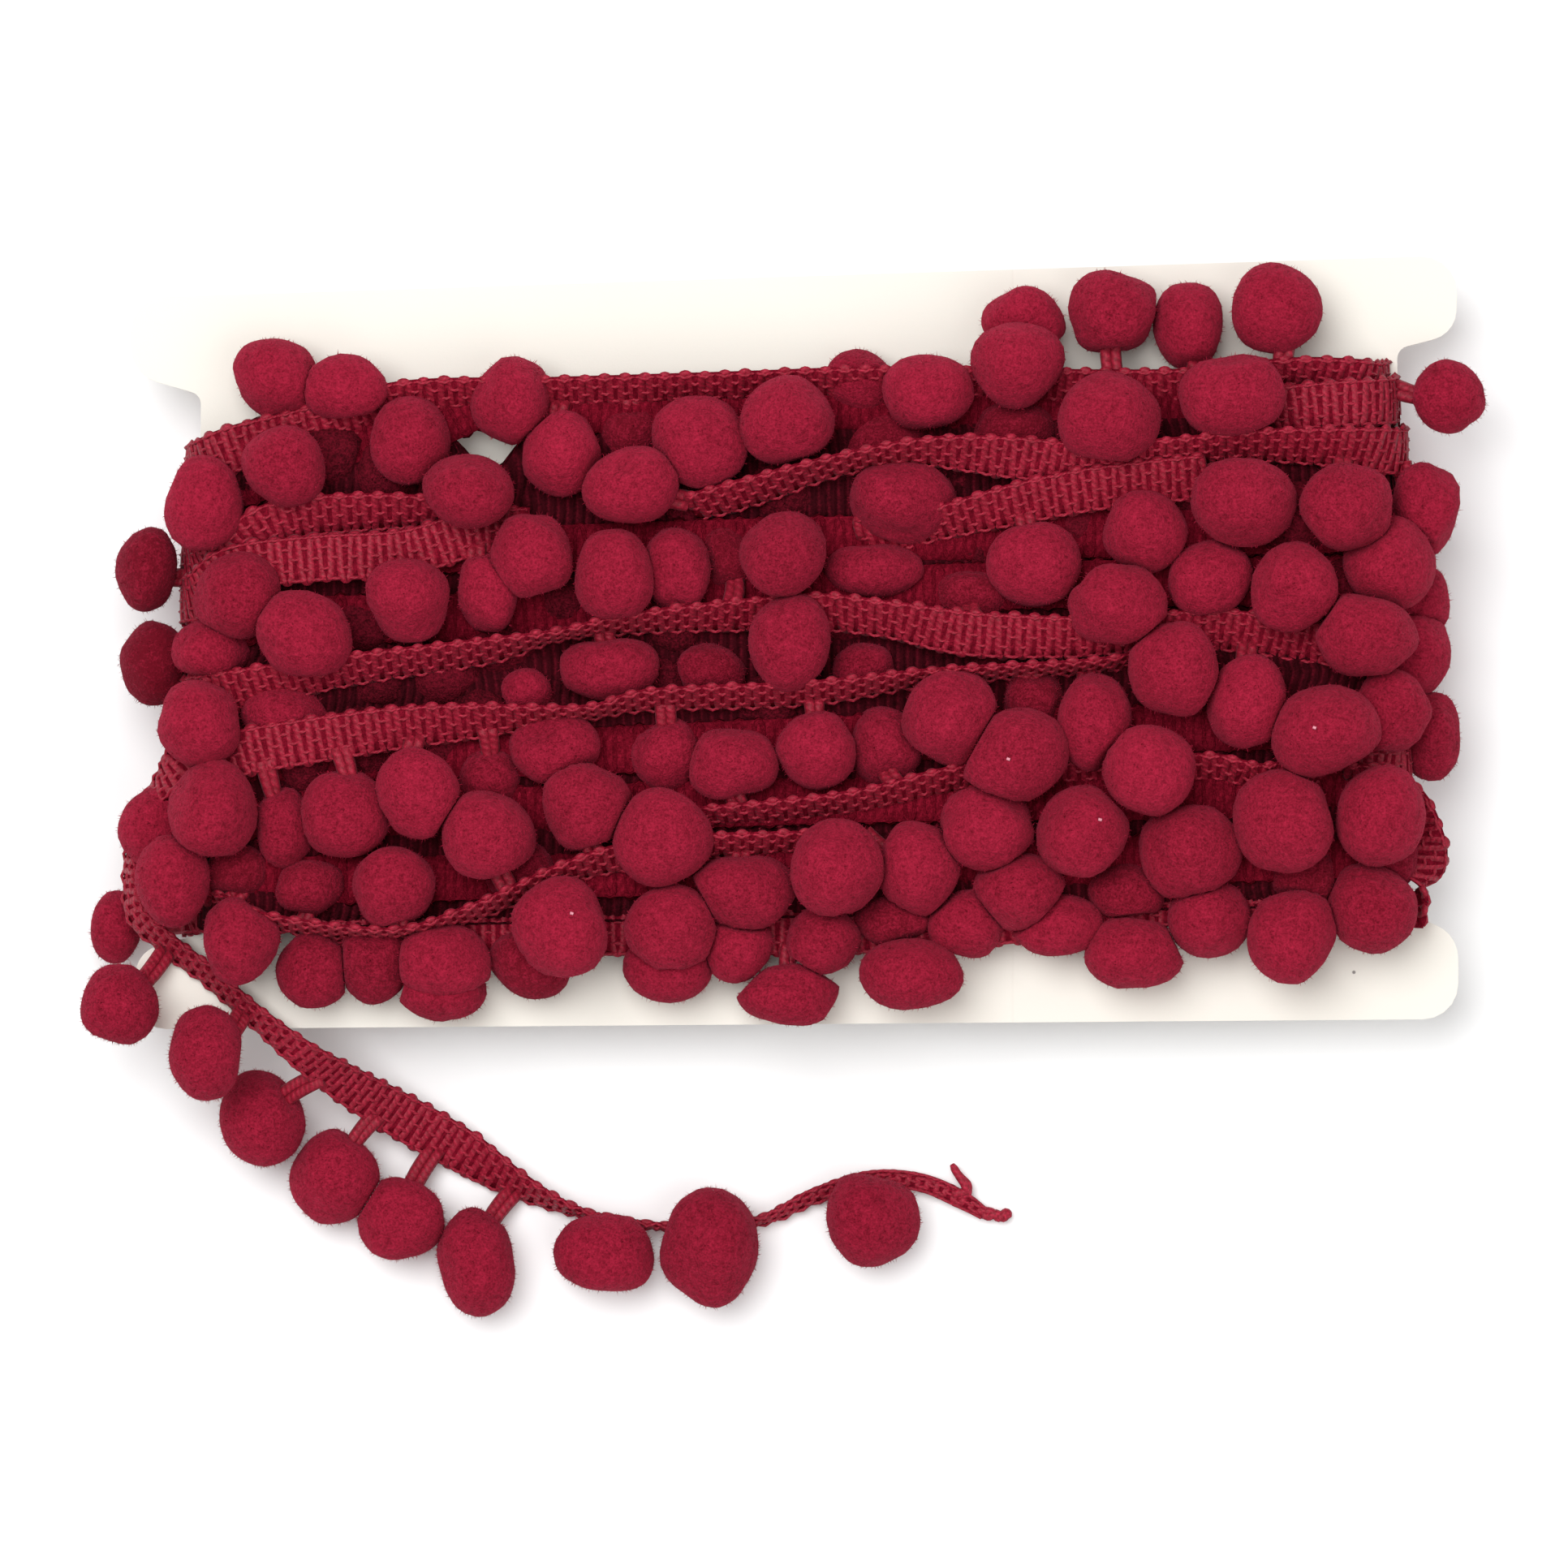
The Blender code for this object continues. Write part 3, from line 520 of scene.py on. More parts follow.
looseEnd = {
    "braid": ((-115.0, 8.0, 34.0, 20, 10.0), (-120.0, 1.5, 32.5, 45, 9.5), (-125.4, -5.0, 27.5, 72, 9.0),
              (-127.6, -12.0, 25.0, 72, 9.0), (-128.2, -19.5, 24.6, 68, 8.5),
              (-126.6, -26.0, 25.0, 52, 7.5), (-120.6, -31.5, 25.0, 48, 7.0),
              (-112.8, -37.5, 25.0, 50, 6.8), (-103.0, -46.0, 25.0, 46, 6.8),
              (-94.6, -53.0, 23.4, 30, 7.6), (-85.0, -60.0, 14.4, 12, 9.2), (-74.5, -66.6, 6.6, 8, 10.4),
              (-63.6, -73.0, 3.6, 20, 10.4), (-52.0, -80.0, 4.0, 50, 9.0), (-40.0, -85.0, 4.2, 75, 7.0),
              (-26.0, -87.5, 4.2, 80, 6.0), (-13.0, -88.0, 4.0, 80, 5.0), (-3.0, -86.0, 3.2, 60, 4.2),
              (6.0, -81.8, 2.6, 30, 3.8), (17.0, -78.6, 2.2, 10, 3.8), (27.0, -79.2, 2.0, 0, 3.8),
              (35.0, -82.5, 1.8, 0, 3.8), (40.0, -85.6, 1.6, 0, 2.4)),
    "poms": ((-130, -43, 32.5, 14.6, 16.8), (-113, -53, 31.0, 13.7, 18.4), (-103, -66, 13.0, 16.5, 19.0),
             (-89, -78, 8.6, 18.1, 18.4), (-76, -86, 8.4, 18.1, 15.9), (-61, -94, 8.6, 15.9, 20.0),
             (-36, -93, 8.6, 19.7, 15.9), (-14, -91.5, 9.6, 19.7, 22.2), (17, -86, 8.6, 18.1, 18.1)),
    # Where the end is cut its yarns come apart: x, y, z along each one, and how thick they are.
    "frayed": (
        ((33.5, -81.5, 2.2), (36.4, -81, 2.7), (35.8, -79.4, 2.9), (34.6, -77.6, 2.7), (33.4, -75.6, 2.2)),
        ((34.5, -82, 1.8), (36.6, -81.6, 2.2), (36.7, -79.6, 2.4), (35.2, -78.2, 2.3), (33.6, -76.4, 1.9)),
        ((38.5, -84.6, 1.6), (40.6, -86.3, 1.6), (42.2, -85.2, 1.7), (43.6, -86.6, 1.7), (44.9, -85, 1.5)),
        ((39, -84.8, 1.6), (41.4, -85, 1.7), (42.6, -86.6, 1.6), (44.2, -84.9, 1.7), (44.9, -86.2, 1.4))),
    "frayedThick": 1.7,
}
# A pompom whose tie faces up shows the dimple that it pulls in: the pompom's x and y, and the tie's way.
faced = {(96, 93): (-0.20, 0.05, 1.0), (-53, 75): (-0.8, 0.35, 0.7), (-30, 58): (-0.2, 0.7, 0.75),
         (0.8, 70.6): (0.0, -0.45, 1.0), (87, 76): (0.0, 1.0, 0.5), (28.3, 75.6): (0.1, -0.2, 1.0),
         (60.8, 12.8): (0.1, 0.9, 0.45), (-45, 6.6): (-0.4, 0.6, 0.7), (58, -9.8): (0.2, -0.3, 1.0)}
# Pompoms low at a side or under others, and how much darker they are.
inShade = {(66.9, -21.2): 0.25, (101.8, -18.2): 0.3, (21.4, -26.5): 0.25, (-52, -17): 0.35,
           (-106, -17): 0.35, (-57.5, 1.5): 0.2, (-11, 44): 0.4, (36.5, 37): 0.25, (48.5, 16.5): 0.3,
           (-125, 42): 0.40, (-124, 23): 0.42, (-30, 69): 0.3, (20, 66): 0.35, (45, 69): 0.35,
           (-92, -36): 0.2, (-80, -35.4): 0.2, (-67, -39.4): 0.1, (-49.5, -34.4): 0.3, (-97, 13): 0.1,
           (-93, -20): 0.15, (-14, 22): 0.2, (16, 22): 0.15, (-98, -8): 0.1, (20, 7): 0.15, (117, -14): 0.2}
lint = {  # pale flecks caught on pompoms
    "places": ((-41.0, -24.9), (61.0, -7.0), (102.7, 10.8), (43.5, 4.9)),
    "long": 0.64, "thick": 0.60, "above": 0.25,
}

braid = {
    "wide": 10.4,
    "yarn": 1.86,  # the yarn that goes to and fro across the braid
    "yarnFlat": 0.72,  # how thick it is as a share of that
    "pitch": 1.95,  # from one crossing to the next
    "hold": 0.84,  # how straight it crosses, from 0 for a plain wave to 1
    "square": 1.2,  # how soon it reaches the edge
    "uneven": 0.05,  # how much its reach varies
    "lift": 0.14, "liftUneven": 0.08,  # how far it rises over the next crossing
    "threads": (-0.40, -0.20, 0.0, 0.20, 0.40),  # lengthwise threads, as shares of the width
    "thread": 0.74,
    "threadUp": 0.36, "threadWave": 0.42,  # how high they run, and how far over and under
    "tapeWide": 0.88,  # as a share of the width
    "tapeThick": 1.05, "tapeMost": 0.4,  # and no more than this share where the braid is narrow
    "tapeSides": 8, "tapeCorner": 1.08,  # its corners stand out, so that its sides lie on the oval
}
# Where the turns end at the left and right, at five heights on the page.
ends = {"y": (-28.0, 25.0, 66.0, 75.0, 81.0), "left": (-115.8, -117.2, -115.6, -115.4, -115.2),
        "right": (120.4, 122.4, 120.8, 119.2, 116.4)}
# A braid that reaches past here goes on round the end to the back, shifting this far along Y.
wrapPast = (-105, 115)
wrapShift = 1
# Its x from the end's x, and its z, at each station there.
leftWrap = ((10.0, 9.3), (2.5, 10.8), (-0.9, 15.5), (-1.0, 22.5))
rightWrap = ((1.1, 19.5), (0.9, 13.5), (-3.0, 10.2), (-14.0, 9.3))


def wrapped(stations):
    # The stations with those round the ends: x = the end's x at that y, plus the station's own.
    rows = [tuple(s) for s in stations]
    left = np.interp(rows[0][1], ends["y"], ends["left"])
    right = np.interp(rows[-1][1], ends["y"], ends["right"])
    if rows[0][0] < wrapPast[0]:
        rows = [(left + dx, rows[0][1] - wrapShift, z, 0) for dx, z in leftWrap] + rows
    if rows[-1][0] > wrapPast[1]:
        rows = rows + [(right + dx, rows[-1][1] + wrapShift, z, 0) for dx, z in rightWrap]
    return rows


def routeOf(stations, step, upright=False):
    # A smooth curve through the stations (Catmull-Rom), taken again at even steps of its length.
    # side = across the run, level or along Y, turned about the run by the roll; face = run x side.
    rows = np.array([tuple(s) + ((braid["wide"],) if len(s) < 5 else ()) for s in stations], float)
    guides = np.vstack([2 * rows[0] - rows[1], rows, 2 * rows[-1] - rows[-2]])
    t = np.linspace(0, 1, 24, endpoint=False)[None, :, None]
    a, b, c, d = (guides[i:len(guides) - 3 + i, None] for i in range(4))
    fine = b + ((c - a) * t + (2 * a - 5 * b + 4 * c - d) * t**2 + (3 * b - a - 3 * c + d) * t**3) / 2
    fine = np.vstack([fine.reshape(-1, 5), rows[-1:]])
    run = np.concatenate([[0], np.cumsum(np.linalg.norm(np.diff(fine[:, :3], axis=0), axis=1))])
    at = np.linspace(0, run[-1], max(int(run[-1] / step), 4) + 1)
    even = np.stack([np.interp(at, run, column) for column in fine.T], 1)
    along = unit(np.gradient(even[:, :3], axis=0))
    if upright:
        side = unit(np.cross([0.0, 0.0, 1.0], along))
    else:
        side = unit(np.array([0.0, 1.0, 0.0]) - along * along[:, 1:2])
    up = np.cross(along, side)
    roll = np.radians(even[:, 3:4])
    turned = np.cos(roll) * side + np.sin(roll) * up
    return {"at": at, "centre": even[:, :3], "side": turned, "face": np.cross(along, turned),
            "wide": even[:, 4], "length": run[-1]}


def placeOn(route, at, across, up):
    # Points at a distance along a route, so far to its side and so far off its face.
    def pick(values):
        return np.stack([np.interp(at, route["at"], column) for column in values.T], 1)
    return pick(route["centre"]) + pick(route["side"]) * across[:, None] + pick(route["face"]) * up[:, None]


def faceOn(route, at):
    # The way that a braid faces at a distance along its route.
    return unit(np.stack([np.interp(at, route["at"], column) for column in route["face"].T], 1))


def tubes(paths, faces, radius, sides, tone, flat=1.0):
    # Round yarns, several at once: point = the path's point + r (cos a side + flat sin a face).
    along = unit(np.gradient(paths, axis=1))
    side = unit(np.cross(faces, along))
    face = np.cross(along, side)
    a = np.arange(sides) * 2 * math.pi / sides
    r = np.broadcast_to(radius, paths.shape[:2])[:, :, None, None]
    ring = np.cos(a)[:, None] * side[:, :, None] + flat * np.sin(a)[:, None] * face[:, :, None]
    points = paths[:, :, None] + ring * r
    count, rows = paths.shape[:2]
    quads, places = gridQuads(rows, sides, True)
    run = np.concatenate([[0], np.cumsum(np.linalg.norm(np.diff(paths[0], axis=0), axis=1))])
    places[..., 0] = run[places[..., 0].astype(int)]
    places[..., 1] /= sides
    caps = np.array([np.arange(sides)[::-1], (rows - 1) * sides + np.arange(sides)])
    size = rows * sides
    return {
        "points": points.reshape(-1, 3) * mm,
        "faces": [repeated(quads, count, size), repeated(caps, count, size)],
        "uvs": [np.tile(places, (count, 1, 1)), np.zeros((2 * count, sides, 2))],
        "tone": np.repeat(np.broadcast_to(tone, count), size),
    }


def crossingYarn(route, steps, sides, tone=0.5):
    # One yarn to and fro: across = half width x tanh(square sin(pi s)),
    # along = pitch x (s - hold sin(2 pi s) / 2 pi), and each crossing lies a little over the next.
    count = int(route["length"] / braid["pitch"])
    s = np.linspace(0, count, count * steps + 1)
    at = braid["pitch"] * (s - braid["hold"] * np.sin(2 * math.pi * s) / (2 * math.pi))
    half = np.interp(at, route["at"], route["wide"]) / 2 - braid["yarn"] / 2
    wobble = 1 + braid["uneven"] * np.sin(s * 1.7 + 1.3) * np.sin(s * 0.37)
    across = half * wobble * np.tanh(braid["square"] * np.sin(math.pi * s)) / math.tanh(braid["square"])
    lift = braid["lift"] * np.cos(2 * math.pi * s) + braid["liftUneven"] * np.sin(s * 2.1)
    path = placeOn(route, at, across, lift)
    return tubes(path[None], faceOn(route, at)[None], braid["yarn"] / 2, sides, tone, braid["yarnFlat"])


def lengthwiseThreads(route, sides):
    # Each thread runs along over one crossing and under the next: height = a sine of the crossings.
    at = np.arange(0, route["length"], braid["pitch"] / 2)
    wide = np.interp(at, route["at"], route["wide"])
    paths = []
    for i, share in enumerate(braid["threads"]):
        phase = math.pi * (at / braid["pitch"] + i)
        up = braid["threadUp"] + braid["threadWave"] * np.sin(phase)
        paths.append(placeOn(route, at, wide * share, up))
    face = np.broadcast_to(faceOn(route, at), (len(paths), len(at), 3))
    return tubes(np.array(paths), face, braid["thread"] / 2, sides, 0.55)


def tape(route):
    # The threads inside the braid as a thin band: an oval profile carried along the route.
    sides = braid["tapeSides"]
    wide = route["wide"] * braid["tapeWide"] / 2 * braid["tapeCorner"]
    thick = np.minimum(braid["tapeThick"], route["wide"] * braid["tapeMost"]) / 2 * braid["tapeCorner"]
    a = (np.arange(sides) + 0.5) * 2 * math.pi / sides
    ring = (route["side"][:, None] * (np.cos(a)[:, None] * wide[:, None, None])
            + route["face"][:, None] * (np.sin(a)[:, None] * thick[:, None, None]))
    points = route["centre"][:, None] + ring
    quads, places = gridQuads(len(points), sides, True)
    places[..., 0] = route["at"][places[..., 0].astype(int)]
    places[..., 1] /= sides
    caps = np.array([np.arange(sides)[::-1], (len(points) - 1) * sides + np.arange(sides)])
    return {
        "points": points.reshape(-1, 3) * mm,
        "faces": [quads, caps],
        "uvs": [places, np.zeros((2, sides, 2))],
        "tone": np.full(len(points) * sides, 0.4),
    }


pom = {
    "frontGrid": (16, 24), "lowGrid": (10, 16), "looseGrid": (22, 34),  # rings and sides
    "lumps": 0.209, "lumpWaves": 1.9,  # how much a pompom's outline swells and dips, and how often
    "tufts": 0.042, "tuftWaves": 6.5,
    "dimple": 0.17, "dimpleWide": 0.0680625,  # where the stem's tie pulls it in
    "toneStray": 0.05,
    "meets": 0.97,  # two pompoms press each other if they are nearer than this share of their sizes
    "firm": 0.45,  # the part of its half size to which one can be pressed
    "overlap": 0.1,
    "fibre": 0.90, "fibreThick": 0.072, "fibreLean": 2.0,  # the clipped ends that stand off it
    "fibreLong": (0.5, 1.15), "fibreOut": 0.22, "fibreSunk": 0.08, "fibreTone": 0.28,
    "frontFibres": 520, "lowFibres": 150, "backFibres": 220, "looseFibres": 1500,
}


def ballGrid(rings, sides):
    # Directions on a ball, from the lower pole to the upper: (sin t cos p, sin t sin p, -cos t).
    t = (np.arange(rings) + 1) * math.pi / (rings + 1)
    p = np.arange(sides) * 2 * math.pi / sides
    t, p = np.meshgrid(t, p, indexing="ij")
    ball = np.stack([np.sin(t) * np.cos(p), np.sin(t) * np.sin(p), -np.cos(t)], -1).reshape(-1, 3)
    ball = np.vstack([ball, [0, 0, -1], [0, 0, 1]])
    quads, _ = gridQuads(rings, sides, True)
    c = np.arange(sides)
    low = np.stack([np.full(sides, rings * sides), (c + 1) % sides, c], 1)
    start = (rings - 1) * sides
    high = np.stack([np.full(sides, rings * sides + 1), start + c, start + (c + 1) % sides], 1)
    return ball, quads, np.vstack([low, high])


def pomSet(rows, ties, tone):
    # What each pompom's surface needs: middle, half sizes, waves for its lumps, and its tie's direction.
    rows = np.array(rows, float)
    count = len(rows)
    half = np.stack([rows[:, 3], rows[:, 4], (rows[:, 3] + rows[:, 4]) / 2], 1) / 2
    return {
        "centre": rows[:, :3], "half": half, "mean": half.mean(1),
        "lumps": rng.normal(size=(count, 6, 3)) * pom["lumpWaves"],
        "lumpPhases": rng.uniform(0, 6.28, (count, 6)),
        "tufts": rng.normal(size=(count, 8, 3)) * pom["tuftWaves"],
        "tuftPhases": rng.uniform(0, 6.28, (count, 8)),
        "tie": unit(np.array(ties, float)),
        "tone": tone + rng.normal(0, pom["toneStray"], count),
        "turn": rng.normal(size=(count, 3, 3)),
    }


def pomSurface(poms, ways):
    # point = middle + half size x direction x (1 + lumps + tufts - dimple).
    # Lumps and tufts are means of sines of the direction, and the dimple a bell round the tie.
    scale = 1.0
    for kind, phases in (("lumps", "lumpPhases"), ("tufts", "tuftPhases")):
        waves = np.einsum("pnk,pwk->pnw", ways, poms[kind]) + poms[phases][:, None]
        scale = scale + pom[kind] * np.sin(waves).mean(2)
    off = 1 - np.einsum("pnk,pk->pn", ways, poms["tie"])
    scale = scale - pom["dimple"] * np.exp(-off / pom["dimpleWide"])
    points = poms["centre"][:, None] + poms["half"][:, None] * ways * scale[..., None]
    # Where two pompoms meet, each is pressed flat at the plane that parts them.
    gap = poms["centre"][None] - poms["centre"][:, None]
    apart = np.linalg.norm(gap, axis=2)
    near = (apart < pom["meets"] * (poms["mean"][:, None] + poms["mean"])) & (apart > 0.01)
    for i, j in zip(*np.nonzero(near)):
        ahead = gap[i, j] / apart[i, j]
        plane = (apart[i, j] ** 2 + poms["mean"][i] ** 2 - poms["mean"][j] ** 2) / (2 * apart[i, j])
        plane = max(plane, pom["firm"] * poms["mean"][i]) - pom["overlap"]
        over = np.maximum((points[i] - poms["centre"][i]) @ ahead - plane, 0)
        points[i] -= over[:, None] * ahead
    points[..., 2] = np.maximum(points[..., 2], 0.0)
    return points


def pomShape(poms, rings, sides, picked=slice(None)):
    # The surfaces of the picked pompoms, each pressed by all its neighbours.
    ball, quads, fans = ballGrid(rings, sides)
    turn = np.linalg.qr(poms["turn"])[0]
    turn *= np.sign(np.linalg.det(turn))[:, None, None]
    points = pomSurface(poms, np.einsum("pij,nj->pni", turn, ball))[picked]
    count = len(points)
    return {
        "points": points.reshape(-1, 3) * mm,
        "faces": [repeated(quads, count, len(ball)), repeated(fans, count, len(ball))],
        "uvs": [np.zeros((len(quads) * count, 4, 2)), np.zeros((len(fans) * count, 3, 2))],
        "tone": np.repeat(poms["tone"][picked], len(ball)),
    }


def fuzzShape(poms, count, picked=slice(None)):
    # Fibres as thin spikes: three points round a root, and a tip out from it with a random lean.
    ways = unit(rng.normal(size=(len(poms["centre"]), count, 3)))
    root = pomSurface(poms, ways)[picked]
    out = unit(ways / poms["half"][:, None])[picked]
    pomCount = len(root)
    lean = unit(out + rng.normal(0, pom["fibreLean"], out.shape))
    lean += out * np.maximum(pom["fibreOut"] - np.einsum("pnk,pnk->pn", lean, out), 0)[..., None]
    tip = root + lean * (pom["fibre"] * rng.uniform(*pom["fibreLong"], (pomCount, count, 1)))
    first = unit(np.cross(out, rng.normal(size=out.shape)))
    second = np.cross(out, first)
    a = np.arange(3) * 2 * math.pi / 3
    base = root[:, :, None] - pom["fibreSunk"] * out[:, :, None] + pom["fibreThick"] * (
        np.cos(a)[:, None] * first[:, :, None] + np.sin(a)[:, None] * second[:, :, None])
    points = np.concatenate([base, tip[:, :, None]], 2).reshape(-1, 3)
    points[:, 2] = np.maximum(points[:, 2], 0.02)
    faces = np.array([[0, 1, 3], [1, 2, 3], [2, 0, 3], [0, 2, 1]])
    tone = poms["tone"][picked, None] + rng.normal(0, pom["fibreTone"], (pomCount, count))
    return {
        "points": points * mm,
        "faces": [repeated(faces, pomCount * count, 4)],
        "uvs": [np.zeros((pomCount * count * 4, 3, 2))],
        "tone": np.repeat(tone.ravel(), 4),
    }


stem = {
    "reach": 12.0, "looseReach": 30.0,  # no pompom further than this from a braid has a stem
    "from": 0.22,  # where it leaves the braid, as a share of the width from its middle
    "thick": 2.3, "apart": 0.95, "bow": 1.2, "twist": 1.3, "flat": 0.5,
}


def tiesOf(rows, routes, reach):
    # For each pompom the nearest place on a braid, and whether it is within a stem's reach.
    rows = np.array(rows, float)
    centres = np.vstack([route["centre"] for route in routes])
    sides = np.vstack([route["side"] * route["wide"][:, None] for route in routes])
    apart = np.linalg.norm(rows[:, None, :3] - centres[None], axis=2)
    nearest = apart.argmin(1)
    place = centres[nearest]
    toward = np.sign(np.einsum("pk,pk->p", sides[nearest], rows[:, :3] - place))
    place = place + sides[nearest] * toward[:, None] * stem["from"]
    reached = apart.min(1) - (rows[:, 3] + rows[:, 4]) / 4 < reach
    return place, reached


def stemShape(rows, place, reached):
    # Two threads side by side from the braid into the pompom, bowed a little and half twisted.
    middle = np.array(rows, float)[reached, :3]
    start = place[reached]
    t = np.linspace(0, 1, 9)
    ahead = middle - start
    along = unit(ahead)
    level = unit(np.cross(along, [0.03, 0.05, 1.0]))
    up = np.cross(level, along)
    bow = rng.uniform(-1, 1, (len(middle), 1, 1)) * stem["bow"]
    swing = bow * np.sin(math.pi * t)[None, :, None]
    centre = start[:, None] + ahead[:, None] * t[None, :, None] + level[:, None] * swing
    spin = (rng.uniform(-0.5, 0.5, (len(middle), 1)) + stem["twist"] * t[None])[..., None]
    off = stem["apart"] * (np.cos(spin) * level[:, None] + stem["flat"] * np.sin(spin) * up[:, None])
    paths = np.concatenate([centre + off, centre - off])
    faces = np.concatenate([np.broadcast_to(up[:, None], centre.shape)] * 2)
    return tubes(paths, faces, stem["thick"] / 2, 6, 0.45)


def frayedShape(paths, thick):
    # Loose yarns at the cut end, each smoothed through its points and thinner at its tip.
    rows = np.array(paths, float)
    t = np.linspace(0, rows.shape[1] - 1, 25)
    fine = np.stack([[np.interp(t, np.arange(rows.shape[1]), c) for c in path.T] for path in rows])
    fine = fine.transpose(0, 2, 1)
    for _ in range(3):
        fine[:, 1:-1] = (fine[:, :-2] + 2 * fine[:, 1:-1] + fine[:, 2:]) / 4
    radius = thick / 2 * np.interp(t, [0, t[-1] * 0.9, t[-1]], [1.0, 1.0, 0.6])
    return tubes(fine, np.broadcast_to([0.0, 0.0, 1.0], fine.shape), radius, 7, 0.6)


def lintShape(poms, flecks):
    # A fleck at each place: a short thread lying on the pompom that is highest there.
    starts, faces = [], []
    for x, y in flecks["places"]:
        off = (np.array([x, y]) - poms["centre"][:, :2]) / poms["half"][:, :2]
        rise = np.sqrt(np.maximum(1 - (off**2).sum(1), 0))
        top = int(np.argmax(np.where(rise > 0, poms["centre"][:, 2] + rise * poms["half"][:, 2], 0)))
        way = unit(np.array([off[top, 0], off[top, 1], rise[top]]))
        ways = np.broadcast_to(way, (len(poms["centre"]), 1, 3))
        starts.append(pomSurface(poms, ways)[top, 0] + way * flecks["above"])
        faces.append(way)
    starts, faces = np.array(starts), np.array(faces)
    along = unit(np.cross(faces, [0.3, 1.0, 0.2]))
    t = np.linspace(-flecks["long"] / 2, flecks["long"] / 2, 5)
    paths = starts[:, None] + along[:, None] * t[None, :, None]
    return tubes(paths, np.broadcast_to(faces[:, None], paths.shape), flecks["thick"] / 2, 6, 0.5)


back = {
    "seed": 17, "drawn": 550, "drawnEach": 5,  # numbers drawn for the front, and for each pompom's form
    "left": -116.5, "length": 239.0, "bottom": -28.0, "slope": 13.0, "size": 17.0,
    "pitch": 21.5, "rowPitch": 18.5, "rows": 6, "columns": 11, "startX": 11.8, "startY": 4.3,
    "braidY": 13.5, "strayX": 2.5, "strayY": 2.0, "uneven": 0.06, "roll": 15, "braidZ": 8.9,
    "inset": 4.0, "top": (66.0, 79.0), "over": -4.5,
    "pressed": 0.88,  # how high a pompom's middle is, as a share of its half size
    "round": ((-1.0, 21.0), (-0.7, 15.5), (1.6, 11.4)),  # in from an end, and z, as a braid comes round it
    "roundInset": 7.0,
}


def backLayout(b):
    # Rows a pitch apart, each half a pitch along from the last, strayed as the solids are: the same
    # seed, after the numbers drawn for the front.
    draw = random.Random(b["seed"])
    for _ in range(b["drawn"]):
        draw.random()
    poms = []
    for row in range(b["rows"]):
        indent = b["startX"] + row % 2 * b["pitch"] / 2
        for column in range(b["columns"] - row % 2):
            size = b["size"] * draw.uniform(1 - b["uneven"], 1 + b["uneven"])
            fromLeft = indent + column * b["pitch"] + draw.uniform(-b["strayX"], b["strayX"])
            y = b["bottom"] + b["startY"] + row * b["rowPitch"] + b["slope"] * fromLeft / b["length"]
            y += draw.uniform(-b["strayY"], b["strayY"])
            poms.append((b["left"] + fromLeft, y, size / 2 * b["pressed"], size, size))
    for _ in range(b["drawnEach"] * len(poms)):
        draw.random()
    routes = []
    for row in range(b["rows"]):
        stations = []
        for share in (0.0, 0.25, 0.5, 0.75, 1.0):
            y = b["bottom"] + b["braidY"] + row * b["rowPitch"] + b["slope"] * share
            y += draw.uniform(-b["strayY"], b["strayY"])
            y = min(y, b["top"][0] + (b["top"][1] - b["top"][0]) * share + b["over"])
            x = b["left"] + b["inset"] + (b["length"] - 2 * b["inset"]) * share
            stations.append((x, y, b["braidZ"], 180 + draw.uniform(-b["roll"], b["roll"])))
        first, last = stations[0], stations[-1]
        left = np.interp(first[1], ends["y"], ends["left"])
        right = np.interp(last[1], ends["y"], ends["right"])
        start = [(left + inward, first[1], z, 180) for inward, z in b["round"]]
        end = [(right - inward, last[1], z, 180) for inward, z in reversed(b["round"])]
        stations[0] = (left + b["roundInset"],) + first[1:]
        stations[-1] = (right - b["roundInset"],) + last[1:]
        routes.append(start + stations + end)
    return poms, routes


turns = {
    "top": (66.0, 79.0), "bottom": (-28.0, -23.0),  # at the left and right ends
    "middleZ": 21.1, "halfThick": 10.8, "bands": 9, "relief": 1.8, "layers": 5,
    "edgeRelief": 0.7,
    "around": 220, "bandSteps": 8, "layerSteps": 18,  # points round the track, over a turn, over an edge
    "innermost": 0.12, "drawnIn": 9,  # the first layer's depth, and how much shorter it is at an end
    "straight": 1.7,  # of each 2 along the track; the rest goes round an end
    "yarns": 550,  # yarns side by side round the track
    "dips": ((-57.4, 8.6, 5.6), (-92.0, 4.0, 14.0)),  # where the top edge draws in: x, how deep, how wide
    "dipsAbove": 19.6,  # and only above this height, so that the board shows there
}


